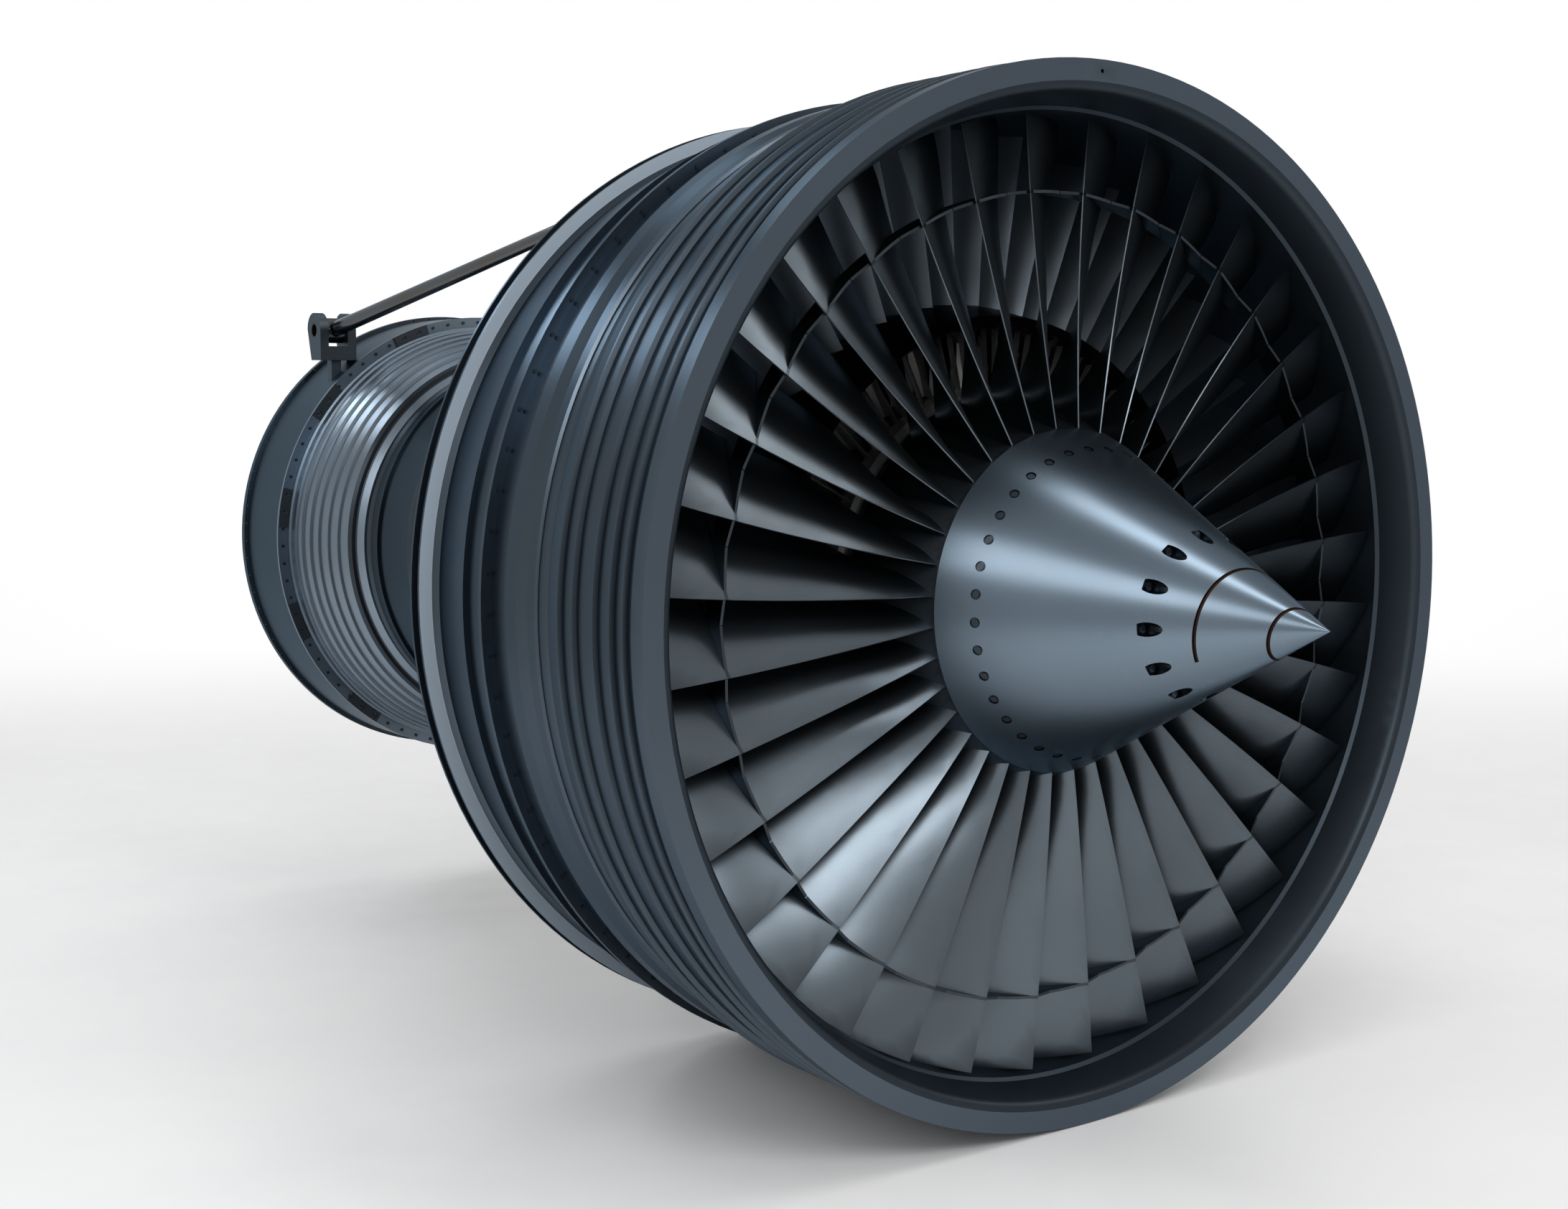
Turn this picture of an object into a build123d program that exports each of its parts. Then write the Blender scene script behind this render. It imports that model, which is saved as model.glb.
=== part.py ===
from build123d import *
import os
from math import atan, cos, degrees, pi, radians, sin, sqrt, tan

# A two-shaft bypass jet engine without cowls. The axis is Y with the intake towards -Y, and +Z is up.
# The origin is the centre of the exhaust flange's bolt circle, on the flange's aft face.
# Stations are millimetres aft of the intake face. Angles round the axis run from +Z towards -X.

# Section lengths, from the intake to the exhaust
fan_case_length = 750.0
fan_frame_length = 407.0
core_set_back = 250.0
compressor_length = 900.0
combustor_length = 600.0
core_turbine_length = 368.0
lp_turbine_length = 351.0
rear_frame_length = 300.0

fan_frame_front = fan_case_length
fan_frame_rear = fan_frame_front + fan_frame_length
compressor_front = fan_frame_front + core_set_back
combustor_front = compressor_front + compressor_length
core_turbine_front = combustor_front + combustor_length
lp_turbine_front = core_turbine_front + core_turbine_length
rear_frame_front = lp_turbine_front + lp_turbine_length
engine_length = rear_frame_front + rear_frame_length

# Clearances
seat_gap = 0.3
run_gap = 3.0
fan_tip_gap = 6.0
bearing_fit = 0.05
bolt_gap = 0.5

# Fan path radii
fan_bore = 1184.0
bypass_bore = 1190.0
liner_thickness = 53.7
case_bore = fan_bore + liner_thickness + seat_gap
fan_tip = fan_bore - fan_tip_gap

# Spinner
spinner_rear = 107.0
spinner_radius = 424.0
spinner_length = 810.0
spinner_wall = 10.0
spinner_slope = spinner_radius / spinner_length
spinner_half_angle = degrees(atan(spinner_slope))
spinner_tip = spinner_rear - spinner_length
spinner_inset = spinner_wall / cos(radians(spinner_half_angle))
nose_solid_length = 273.0
nose_bore = 110.0
pocket_count = 12
pocket_first = 5.0
pocket_circle = 187.0
pocket_radius = 16.5
pocket_floor = spinner_tip + 378.0
pocket_wall = 25.0
nose_flange_rear = pocket_floor + pocket_wall
screw_count = 36
screw_first = 3.15
screw_station = spinner_rear - 90.0
screw_recess_radius = 12.5
screw_recess_depth = 4.5
screw_head_radius = 8.0
screw_head_height = 3.0
screw_shank_radius = 4.0
support_wall = 10.0
support_step = 15.0
support_land = 34.0

# Front bolts of the spinner
nose_bolt_head = 10.0
nose_bolt_head_height = 8.0
nose_bolt_shank = 5.0

# Fan blades
fan_count = 36
fan_first = 6.4
fan_platform_front = spinner_rear
fan_platform_rear = 330.0
fan_hub_rear_radius = 512.0
platform_thickness = 8.0
platform_gap = 0.6
root_turn = 5.4
root_shift = 9.6
edge_bow = 9.5
fan_edge = 3.0
shank_width = 24.0
shank_margin = 11.0
rim_drop = 8.0
dovetail_neck_depth = 16.0
dovetail_foot_width = 42.0
dovetail_depth = 56.0
snubber_radius = 995.0
snubber_thickness = 7.0
snubber_front = 137.0
snubber_joint_front = 150.0
snubber_rear = 205.0
snubber_gap = 2.8
# Blade sections: radius, nose station, chord, angle at the nose, angle at the tail, thickness
fan_sections = (
    (400.0, 111.0, 220.0, 32.0, -8.0, 18.0),
    (520.0, 116.0, 222.0, 38.0, 2.0, 15.0),
    (660.0, 122.0, 225.0, 50.0, 26.0, 12.0),
    (820.0, 127.0, 228.0, 55.0, 41.0, 9.0),
    (snubber_radius, 130.0, 230.0, 59.0, 51.0, 8.0),
    (fan_bore + 16.0, 129.0, 232.0, 62.0, 58.0, 6.0),
)

# Fan disk
disk_front = fan_platform_front + shank_margin
disk_rear = fan_platform_rear - shank_margin
disk_rim_radius = spinner_radius - platform_thickness - rim_drop
disk_rim_depth = 66.0
disk_web_half = 16.0
disk_bore = 190.0
disk_bore_height = 50.0
disk_bore_half = 45.0

# Fan case, outside radii as heights above the case's bore
lip_height = 52.0
valley_height = 43.0
rib_height = 54.0
rib_width = 12.0
fan_case_ribs = (80.0, 134.0, 203.0, 291.0, 355.0)
lip_length = 45.0
flange_height = 39.0
flange_thickness = 8.0
flange_bolt_height = 19.0
flange_bolt_count = 80
case_bolt_first = 0.5
bolt_shank_radius = 4.0
bolt_head_radius = 6.0
bolt_head_height = 4.0
locating_hole_height = 25.0
locating_hole_radius = 5.0
locating_hole_depth = 25.0
locating_hole_angle = 0.5

# Bypass duct
splitter_front = 343.0
splitter_rear = 500.0
splitter_outer = 705.0
splitter_inner = 680.0
splitter_wall = 8.0
booster_front = 420.0
bypass_hub_front = 737.0
bypass_hub_rear = 764.0
bypass_hub_end = fan_frame_front + 210.0
bypass_wall = 6.0
guide_vane_count = 60
guide_vane_first = 3.0
guide_vane_nose = 490.0
guide_vane_chord = 165.0
guide_vane_thickness = 9.0
strut_count = 12
strut_front = fan_frame_front + 30.0
strut_chord = 170.0
strut_thickness = 26.0

# Core inlet and booster
inlet_vane_count = 110
inlet_vane_station = 383.0
inlet_vane_chord = 31.0
inlet_vane_thickness = 3.4
inner_ring_front = 350.0
inner_ring_rear = 408.0
inner_ring_outer = 531.0
inner_ring_wall = 21.0
booster_rear = fan_frame_front - 100.0
booster_case_front_radius = 672.0
booster_case_rear_radius = 600.0
booster_hub_front_radius = 530.0
booster_hub_rear_radius = 478.0
booster_wall = 10.0
booster_rotor_rows = 2
booster_blade_count = 24

# Compressor
compressor_case_front_radius = 372.0
compressor_case_rear_radius = 330.0
compressor_hub_front_radius = 212.0
compressor_hub_rear_radius = 285.0
compressor_wall = 12.0
compressor_rotor_rows = 5
compressor_blade_count = 20
compressor_margin = 55.0

# Core frame
frame_wall = 12.0
core_strut_count = 8
core_strut_chord = 160.0
core_strut_thickness = 24.0
core_flange = 12.0
core_flange_height = 34.0

# Combustor
combustor_radius = 590.0
combustor_cone_length = 220.0
combustor_wall = 8.0
combustor_flange_height = 31.0
nozzle_station = combustor_front + 430.0
nozzle_count = 30
nozzle_first = 6.0
nozzle_pad_radius = 16.0
nozzle_pad_height = 12.0
nozzle_stem_radius = 8.0
nozzle_tip_radius = 14.0
manifold_station = combustor_front + 300.0
manifold_radius = 640.0
manifold_tube = 11.0
hoop_tube = 7.0
hoop_crest = 695.0
hoop_bend = 30.0
liner_front = nozzle_station + 15.0
liner_wall = 5.0
liner_outer_radius = 552.0
liner_inner_radius = 436.0

# Turbines
core_tip_bore = 612.0
core_shoulder_radius = 632.0
core_case_radius = 626.0
core_hub_radius = 520.0
core_rows = 2
core_blade_count = 24
lp_case_radii = (681.0, 698.5, 715.0, 728.0, 740.0, 748.0, 753.0)
lp_first_rib = lp_turbine_front + 81.0
lp_rib_pitch = 42.0
lp_cone_end = lp_turbine_front + 44.0
lp_cone_radius = 666.0
lp_wall = 10.0
lp_rib_height = 7.0
lp_rib_width = 8.0
lp_cone_lip = 28.0
lp_hub_radius = 480.0
lp_rows = 4
lp_blade_count = 24
lp_flange = 10.0
lp_flange_radius = 796.0
lp_flange_inner = 757.0
lp_bolt_circle = 778.0
lp_bolt_first = 0.8
pad_count = 12
pad_first = 21.0
pad_arc = 10.0
pad_height = 6.0
pad_gap = 1.0
pad_bolt_hole = 9.0

# Rear frame
band_radius = 795.0
band_wall = 12.0
band_front_ring = 22.0
exhaust_flange_radius = 808.0
exhaust_flange_thickness = 24.0
exhaust_bolt_circle = 800.0
exhaust_hole_radius = 3.5
exhaust_first = 0.5
rear_hub_radius = 430.0
rear_hub_wall = 24.0
rear_hub_front = rear_frame_front + 56.0
rear_hub_rear = rear_frame_front + 216.0
rear_strut_count = 12
rear_strut_first = 15.0
rear_strut_front = rear_frame_front + 71.0
rear_strut_chord = 130.0
rear_strut_thickness = 22.0
cover_thickness = 10.0
cover_dome = 22.0
cover_rim = 45.0
cover_crown = 150.0

# Shafts
fan_shaft_radius = 135.0
fan_shaft_bore = 115.0
core_shaft_radius = 110.0
core_shaft_bore = 85.0
lp_shaft_radius = 62.0
lp_shaft_bore = 40.0

# Bearings
bearing_ring = 14.0
roller_radius = 9.0
roller_gap = 0.1
bearing_width = 40.0
roller_length = 30.0
housing_wall = 18.0
lp_front_bearing = fan_frame_front + 70.0
core_front_bearing = compressor_front + 10.0
core_rear_bearing = combustor_front + 100.0
lp_rear_bearing = rear_frame_front + 131.0

# Mount yokes and thrust links
mount_side = 542.0
mount_station = rear_frame_front + 64.0
post_width = 36.0
yoke_bottom = 636.0
yoke_floor = 684.0
yoke_half_width = 67.0
yoke_half_gap = 36.0
yoke_front = 41.0
yoke_back = 42.0
yoke_top_radius = 56.5
mount_bore_height = 740.0
mount_bore_set_back = 13.0
mount_bore_radius = 21.0
mount_pin_radius = 25.0
link_rear_radius = 27.0
link_front_radius = 17.0
link_ball_radius = 44.0
link_ball_half_width = 32.0
link_eye_radius = 25.0
link_eye_half_width = 17.0
link_side_clearance = 4.0
bracket_side = 593.0
bracket_station = fan_frame_rear + 41.0
bracket_height = 1026.0
bracket_plate = 15.0
bracket_plate_bottom = 1056.0
bracket_plate_top = 1090.0
bracket_half_width = 38.0
bracket_ear = 14.0
bracket_pin_radius = 12.0


def at(station):
    """Place along Y of a station."""
    return station - engine_length


def half_section(*corners):
    """Outline in the upper half plane through the axis, from (station, radius) corners."""
    with BuildSketch(Plane.YZ) as section:
        with BuildLine():
            Polyline([(at(station), radius) for station, radius in corners], close=True)
        make_face()
    return section.sketch


def ring_section(front, rear, inner, outer):
    """Rectangular ring outline."""
    return half_section((front, inner), (rear, inner), (rear, outer), (front, outer))


def front_plane(station):
    """Plane across the axis at a station: local x is X, local y is Z, and it faces forwards."""
    return Plane(origin=(0, at(station), 0), x_dir=(1, 0, 0), z_dir=(0, -1, 0))


def polar_start(angle):
    """Start angle of a polar pattern on a front plane."""
    return 90.0 + angle


def around(piece, count, first=0.0):
    """Copies of a piece evenly round the axis."""
    return [piece.rotate(Axis.Y, -(first + 360.0 / count * index)) for index in range(count)]


def radius_on(wall, station):
    """Radius at a station on a wall given by its (station, radius) corners."""
    for (front, front_radius), (rear, rear_radius) in zip(wall, wall[1:]):
        if station <= rear:
            return front_radius + (rear_radius - front_radius) * (station - front) / (rear - front)
    return wall[-1][1]


def raised(wall, height):
    """The same wall, moved outwards."""
    return [(station, radius + height) for station, radius in wall]


def aerofoil(plane, nose, chord, nose_angle, tail_angle, thickness, edge):
    """Blade section on a circular camber line. Angles are from the axis towards +X."""
    turn = radians(tail_angle - nose_angle)
    length = chord * (turn / 2) / sin(turn / 2)
    start = radians(nose_angle)
    steps = 4
    near_side = []
    far_side = []
    for step in range(steps + 1):
        share = step / steps
        heading = start + turn * share
        across = nose[0] + length / turn * (cos(start) - cos(heading))
        along = nose[1] + length / turn * (sin(heading) - sin(start))
        half = edge / 2 + (thickness - edge) / 2 * 4 * share * (1 - share)
        near_side.append((across - half * cos(heading), at(along) + half * sin(heading)))
        far_side.append((across + half * cos(heading), at(along) - half * sin(heading)))
    with BuildSketch(plane) as section:
        with BuildLine():
            Spline(near_side)
            Line(near_side[-1], far_side[-1])
            Spline(far_side[::-1])
            Line(far_side[0], near_side[0])
        make_face()
    return section.sketch


def blade_row(station, chord, stagger, inner_wall, outer_wall, inner_gap, outer_gap, count, thickness=6.0):
    """One row of short cambered blades with flat ends, between two walls."""
    lean = radians(stagger)
    half_axial = chord / 2 * cos(lean)
    half_across = chord / 2 * sin(lean)
    bow = chord * 0.1
    roots = []
    tips = []
    for step in (-1.0, -0.5, 0.0, 0.5, 1.0):
        place = station + half_axial * step
        across = half_across * step
        side_room = abs(across) + bow + thickness
        roots.append(sqrt((radius_on(inner_wall, place) + inner_gap) ** 2 - across**2))
        tips.append(sqrt((radius_on(outer_wall, place) - outer_gap) ** 2 - side_room**2))
    root = max(roots)
    tip = min(tips)
    side = (bow * cos(lean), -bow * sin(lean))
    skin = (side[0] + thickness * cos(lean), side[1] - thickness * sin(lean))
    with BuildPart() as blade:
        with BuildSketch(Plane.XY.offset(root)):
            with BuildLine():
                Polyline(
                    (-half_across, at(station - half_axial)),
                    (side[0], at(station) + side[1]),
                    (half_across, at(station + half_axial)),
                    (skin[0], at(station) + skin[1]),
                    close=True,
                )
            make_face()
        extrude(amount=tip - root)
    return around(blade.part, count)


def rows(first, pitch, count, *row_values):
    """Several blade rows at an even pitch along the axis."""
    return [blade for index in range(count) for blade in blade_row(first + pitch * index, *row_values)]


def ribs_on(wall, stations, height, width):
    """Outline corners of a wall with a rib at each station, from its front end to its rear end."""
    corners = [wall[0]]
    for station in stations:
        corners.append((station - width / 2, radius_on(wall, station - width / 2)))
        corners.append((station - width / 4, radius_on(wall, station) + height))
        corners.append((station + width / 4, radius_on(wall, station) + height))
        corners.append((station + width / 2, radius_on(wall, station + width / 2)))
    corners.append(wall[-1])
    return corners


def bolt(station, grip, circle, head_radius, head_height, shank_radius):
    """Bolt at the top of a bolt circle: its head lies on the forward face at a station."""
    with BuildPart() as piece:
        with BuildSketch(front_plane(station)):
            with Locations((0, circle)):
                RegularPolygon(head_radius, 6)
        extrude(amount=head_height)
        with BuildSketch(front_plane(station)):
            with Locations((0, circle)):
                Circle(shank_radius)
        extrude(amount=-grip)
    return piece.part


def bearing_radii(journal):
    """Radii of a bearing on a journal: inner ring's outside, roller circle, outer ring, housing bore."""
    inner_ring = journal + bearing_ring
    roller_circle = inner_ring + roller_gap + roller_radius
    outer_ring_inner = roller_circle + roller_radius + roller_gap
    outer_ring_outer = outer_ring_inner + bearing_ring
    return inner_ring, roller_circle, outer_ring_inner, outer_ring_outer


# Spinner: a turned cone with a solid nose, an inner flange and twelve pockets for its front bolts
spinner_outer = [(spinner_tip, 0.0), (spinner_rear, spinner_radius)]
spinner_inner = raised(spinner_outer, -spinner_inset)
support_outer = raised(spinner_inner, -support_step)


def spinner_surface_plane():
    """Plane on the cone at the rear screws' circle, facing outwards, at the top."""
    lean = radians(spinner_half_angle)
    place = (0, at(screw_station), radius_on(spinner_outer, screw_station))
    return Plane(origin=place, x_dir=(1, 0, 0), z_dir=(0, -sin(lean), cos(lean)))


with BuildPart() as screw_recess:
    with BuildSketch(spinner_surface_plane()):
        Circle(screw_recess_radius)
    extrude(amount=-screw_recess_depth)
    extrude(screw_recess.faces().sort_by(Axis.Z)[-1], amount=screw_recess_depth)
    with BuildSketch(spinner_surface_plane()):
        Circle(screw_shank_radius + bolt_gap)
    extrude(amount=-spinner_wall - support_wall - seat_gap)

with BuildPart() as spinner_cone:
    revolve(
        half_section(
            (spinner_tip, 0.0),
            (spinner_rear, spinner_radius),
            (spinner_rear, radius_on(spinner_inner, spinner_rear)),
            (nose_flange_rear, radius_on(spinner_inner, nose_flange_rear)),
            (nose_flange_rear, nose_bore),
            (spinner_tip + nose_solid_length, nose_bore),
            (spinner_tip + nose_solid_length, 0.0),
        ),
        axis=Axis.Y,
    )
    with BuildSketch(front_plane(pocket_floor)):
        with PolarLocations(pocket_circle, pocket_count, polar_start(pocket_first)):
            Circle(pocket_radius)
    extrude(amount=pocket_radius * 4, mode=Mode.SUBTRACT)
    with BuildSketch(front_plane(pocket_floor)):
        with PolarLocations(pocket_circle, pocket_count, polar_start(pocket_first)):
            Circle(nose_bolt_shank + bolt_gap)
    extrude(amount=-pocket_wall, mode=Mode.SUBTRACT)
    add(around(screw_recess.part, screw_count, screw_first), mode=Mode.SUBTRACT)

# Support cone between the spinner and the fan disk
support_front_flange = nose_flange_rear + 12.0
support_flange_radius = radius_on(spinner_inner, nose_flange_rear) - 3.0
land_front = screw_station - support_land / 2
land_rear = screw_station + support_land / 2
with BuildPart() as spinner_support:
    revolve(
        half_section(
            (nose_flange_rear, nose_bore + 20.0),
            (nose_flange_rear, support_flange_radius),
            (support_front_flange, support_flange_radius),
            (support_front_flange + 8.0, radius_on(support_outer, support_front_flange + 8.0)),
            (land_front - 15.0, radius_on(support_outer, land_front - 15.0)),
            (land_front, radius_on(spinner_inner, land_front) - seat_gap),
            (land_rear, radius_on(spinner_inner, land_rear) - seat_gap),
            (disk_front, radius_on(spinner_inner, land_rear) - seat_gap),
            (disk_front, disk_rim_radius - disk_rim_depth - 12.0),
            (disk_front - support_wall, disk_rim_radius - disk_rim_depth - 12.0),
            (disk_front - support_wall, radius_on(spinner_inner, land_front) - support_wall - 8.0),
            (land_front, radius_on(spinner_inner, land_front) - support_wall - 8.0),
            (support_front_flange, radius_on(support_outer, support_front_flange) - support_wall),
            (support_front_flange, nose_bore + 20.0),
        ),
        axis=Axis.Y,
    )
    with BuildSketch(front_plane(nose_flange_rear)):
        with PolarLocations(pocket_circle, pocket_count, polar_start(pocket_first)):
            Circle(nose_bolt_shank + bolt_gap)
    extrude(amount=-(support_front_flange - nose_flange_rear + 30.0), mode=Mode.SUBTRACT)
    add(around(screw_recess.part, screw_count, screw_first), mode=Mode.SUBTRACT)

nose_bolt = bolt(
    pocket_floor,
    pocket_wall + 12.0,
    pocket_circle,
    nose_bolt_head,
    nose_bolt_head_height,
    nose_bolt_shank,
)
with BuildPart() as spinner_front_bolts:
    add(around(nose_bolt, pocket_count, pocket_first))

with BuildPart() as spinner_screw:
    with BuildSketch(spinner_surface_plane().offset(-screw_recess_depth)):
        Circle(screw_head_radius)
    extrude(amount=screw_head_height)
    with BuildSketch(spinner_surface_plane().offset(-screw_recess_depth)):
        Circle(screw_shank_radius)
    extrude(amount=-(spinner_wall + support_wall - screw_recess_depth - 1.0))
with BuildPart() as spinner_rear_screws:
    add(around(spinner_screw.part, screw_count, screw_first))

# Fan blades: each is one forging of aerofoil, mid-span shroud, platform, shank and dovetail
hub_line = [(fan_platform_front, spinner_radius), (fan_platform_rear, fan_hub_rear_radius)]


def nose_shift(radius):
    """Sideways place of a blade's nose, which leans towards +X at the root and bows back at mid-span."""
    share = (fan_tip - radius) / (fan_tip - spinner_radius)
    return root_shift * share - edge_bow * 4 * share * (1 - share)


def dovetail_outline(gap):
    """Foot of a blade, or with a gap the slot that holds it."""
    neck = shank_width / 2 + gap
    foot = dovetail_foot_width / 2 + gap
    foot_bottom = disk_rim_radius - dovetail_depth - gap
    neck_bottom = disk_rim_radius - dovetail_neck_depth
    foot_top = neck_bottom - (foot - neck)
    with BuildSketch(front_plane(disk_front)) as outline:
        with BuildLine():
            Polyline(
                (-neck, disk_rim_radius + rim_drop),
                (-neck, neck_bottom),
                (-foot, foot_top),
                (-foot, foot_bottom),
                (foot, foot_bottom),
                (foot, foot_top),
                (neck, neck_bottom),
                (neck, disk_rim_radius + rim_drop),
                close=True,
            )
        make_face()
    return outline.sketch


with BuildPart() as fan_platform:
    revolve(
        half_section(
            (fan_platform_front + seat_gap, spinner_radius),
            (fan_platform_rear, fan_hub_rear_radius),
            (fan_platform_rear, fan_hub_rear_radius - platform_thickness),
            (fan_platform_front + seat_gap, spinner_radius - platform_thickness),
        ),
        axis=Axis.Y,
        revolution_arc=360.0 / fan_count - degrees(platform_gap / spinner_radius),
    )

with BuildPart() as blade_root:
    add(fan_platform.part.rotate(Axis.Y, -(180.0 / fan_count - degrees(platform_gap / spinner_radius) / 2)))
    extrude(
        half_section(
            (disk_front, disk_rim_radius),
            (disk_rear, disk_rim_radius),
            (disk_rear, radius_on(hub_line, disk_rear) - platform_thickness / 2),
            (disk_front, radius_on(hub_line, disk_front) - platform_thickness / 2),
        ),
        amount=shank_width / 2,
        both=True,
    )
    extrude(dovetail_outline(0.0), amount=-(disk_rear - disk_front))

# Mid-span shroud of one blade, with joint faces parallel to the blade
shroud_lean = tan(radians((fan_sections[4][3] + fan_sections[4][4]) / 2))
shroud_half = pi * snubber_radius / fan_count - snubber_gap / 2


def blade_centre(station):
    """Sideways place of the blade at the mid-span shroud."""
    return nose_shift(snubber_radius) + shroud_lean * (station - fan_sections[4][1])


with BuildPart() as snubber:
    with BuildSketch(Plane.XY.offset(snubber_radius * cos(pi / 12))):
        with BuildLine():
            Polyline(
                (blade_centre(snubber_joint_front) - shroud_half, at(snubber_joint_front)),
                (blade_centre(snubber_front), at(snubber_front)),
                (blade_centre(snubber_joint_front) + shroud_half, at(snubber_joint_front)),
                (blade_centre(snubber_rear) + shroud_half, at(snubber_rear)),
                (blade_centre(snubber_rear) - shroud_half, at(snubber_rear)),
                close=True,
            )
        make_face()
    extrude(amount=snubber_radius)
    revolve(
        ring_section(
            snubber_front,
            snubber_rear,
            snubber_radius - snubber_thickness / 2,
            snubber_radius + snubber_thickness / 2,
        ),
        axis=Axis.Y,
        mode=Mode.INTERSECT,
    )

blade_region_front = fan_platform_front - 20.0
blade_region_rear = fan_platform_rear + 20.0
with BuildPart() as fan_blade:
    loft(
        [
            aerofoil(
                Plane.XY.offset(radius),
                (nose_shift(radius), nose_station),
                chord,
                nose_angle,
                tail_angle,
                thickness,
                fan_edge,
            )
            for radius, nose_station, chord, nose_angle, tail_angle, thickness in fan_sections
        ]
    )
    revolve(
        half_section(
            (blade_region_front, radius_on(hub_line, blade_region_front) - platform_thickness / 2),
            (blade_region_rear, fan_hub_rear_radius - platform_thickness / 2),
            (blade_region_rear, fan_tip),
            (blade_region_front, fan_tip),
        ),
        axis=Axis.Y,
        mode=Mode.INTERSECT,
    )
    add(blade_root.part.rotate(Axis.Y, root_turn))
    add(snubber.part)
with BuildPart() as fan_blades:
    add(around(fan_blade.part, fan_count, fan_first), mode=Mode.REPLACE)

# Fan disk: rim with dovetail slots, web and bore
disk_middle = (disk_front + disk_rear) / 2
disk_rim_inner = disk_rim_radius - disk_rim_depth
disk_bore_top = disk_bore + disk_bore_height
with BuildPart() as dovetail_slot:
    extrude(dovetail_outline(seat_gap), amount=-(disk_rear - disk_front))
with BuildPart() as fan_disk:
    revolve(
        half_section(
            (disk_front, disk_rim_inner),
            (disk_front, disk_rim_radius),
            (disk_rear, disk_rim_radius),
            (disk_rear, disk_rim_inner),
            (disk_middle + disk_web_half, disk_rim_inner),
            (disk_middle + disk_web_half, disk_bore_top),
            (disk_middle + disk_bore_half, disk_bore_top),
            (disk_middle + disk_bore_half, disk_bore),
            (disk_middle - disk_bore_half, disk_bore),
            (disk_middle - disk_bore_half, disk_bore_top),
            (disk_middle - disk_web_half, disk_bore_top),
            (disk_middle - disk_web_half, disk_rim_inner),
        ),
        axis=Axis.Y,
    )
    add(around(dovetail_slot.part, fan_count, fan_first - root_turn), mode=Mode.SUBTRACT)

# Fan case: lip, ribbed wall, grooves and rear flange
fan_case_wall = [
    (lip_length + 10.0, case_bore + valley_height),
    (fan_case_ribs[-1] + 20.0, case_bore + valley_height),
]
with BuildPart() as fan_case:
    revolve(
        half_section(
            (0.0, case_bore),
            (0.0, case_bore + lip_height),
            (lip_length, case_bore + lip_height),
            *ribs_on(fan_case_wall, fan_case_ribs, rib_height - valley_height, rib_width),
            (438.0, case_bore + 28.0),
            (451.0, case_bore + 30.0),
            (452.0, case_bore + 24.0),
            (469.0, case_bore + 23.0),
            (471.0, case_bore + 16.0),
            (508.0, case_bore + 16.0),
            (512.0, case_bore + 23.0),
            (545.0, case_bore + 23.0),
            (588.0, case_bore + 30.0),
            (640.0, case_bore + 30.0),
            (678.0, case_bore + 9.0),
            (fan_case_length - flange_thickness, case_bore + 11.0),
            (fan_case_length - flange_thickness, case_bore + flange_height),
            (fan_case_length, case_bore + flange_height),
            (fan_case_length, case_bore),
        ),
        axis=Axis.Y,
    )
    with BuildSketch(front_plane(fan_case_length)):
        with PolarLocations(
            case_bore + flange_bolt_height, flange_bolt_count, polar_start(case_bolt_first)
        ):
            Circle(bolt_shank_radius + bolt_gap)
    extrude(amount=flange_thickness, mode=Mode.SUBTRACT)
    with BuildSketch(front_plane(0.0)):
        with PolarLocations(case_bore + locating_hole_height, 1, polar_start(locating_hole_angle)):
            Circle(locating_hole_radius)
    extrude(amount=-locating_hole_depth, mode=Mode.SUBTRACT)

# Liner of the fan case, with a rounded lip
liner_outside = case_bore - seat_gap
with BuildPart() as fan_case_liner:
    with BuildSketch(Plane.YZ):
        with BuildLine():
            Spline(
                [(at(0.0), liner_outside), (at(30.0), liner_outside - 27.0), (at(103.0), fan_bore + 8.0)],
                tangents=[(0.05, -1.0), (1.0, -0.12)],
            )
            Polyline(
                [
                    (at(103.0), fan_bore + 8.0),
                    (at(112.0), fan_bore),
                    (at(300.0), fan_bore),
                    (at(460.0), bypass_bore),
                    (at(fan_case_length), bypass_bore),
                    (at(fan_case_length), liner_outside),
                    (at(0.0), liner_outside),
                ]
            )
        make_face()
    revolve(axis=Axis.Y)

case_bolt = bolt(
    fan_case_length - flange_thickness,
    flange_thickness * 2,
    case_bore + flange_bolt_height,
    bolt_head_radius,
    bolt_head_height,
    bolt_shank_radius,
)
with BuildPart() as case_flange_bolts:
    add(around(case_bolt, flange_bolt_count, case_bolt_first))

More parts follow.
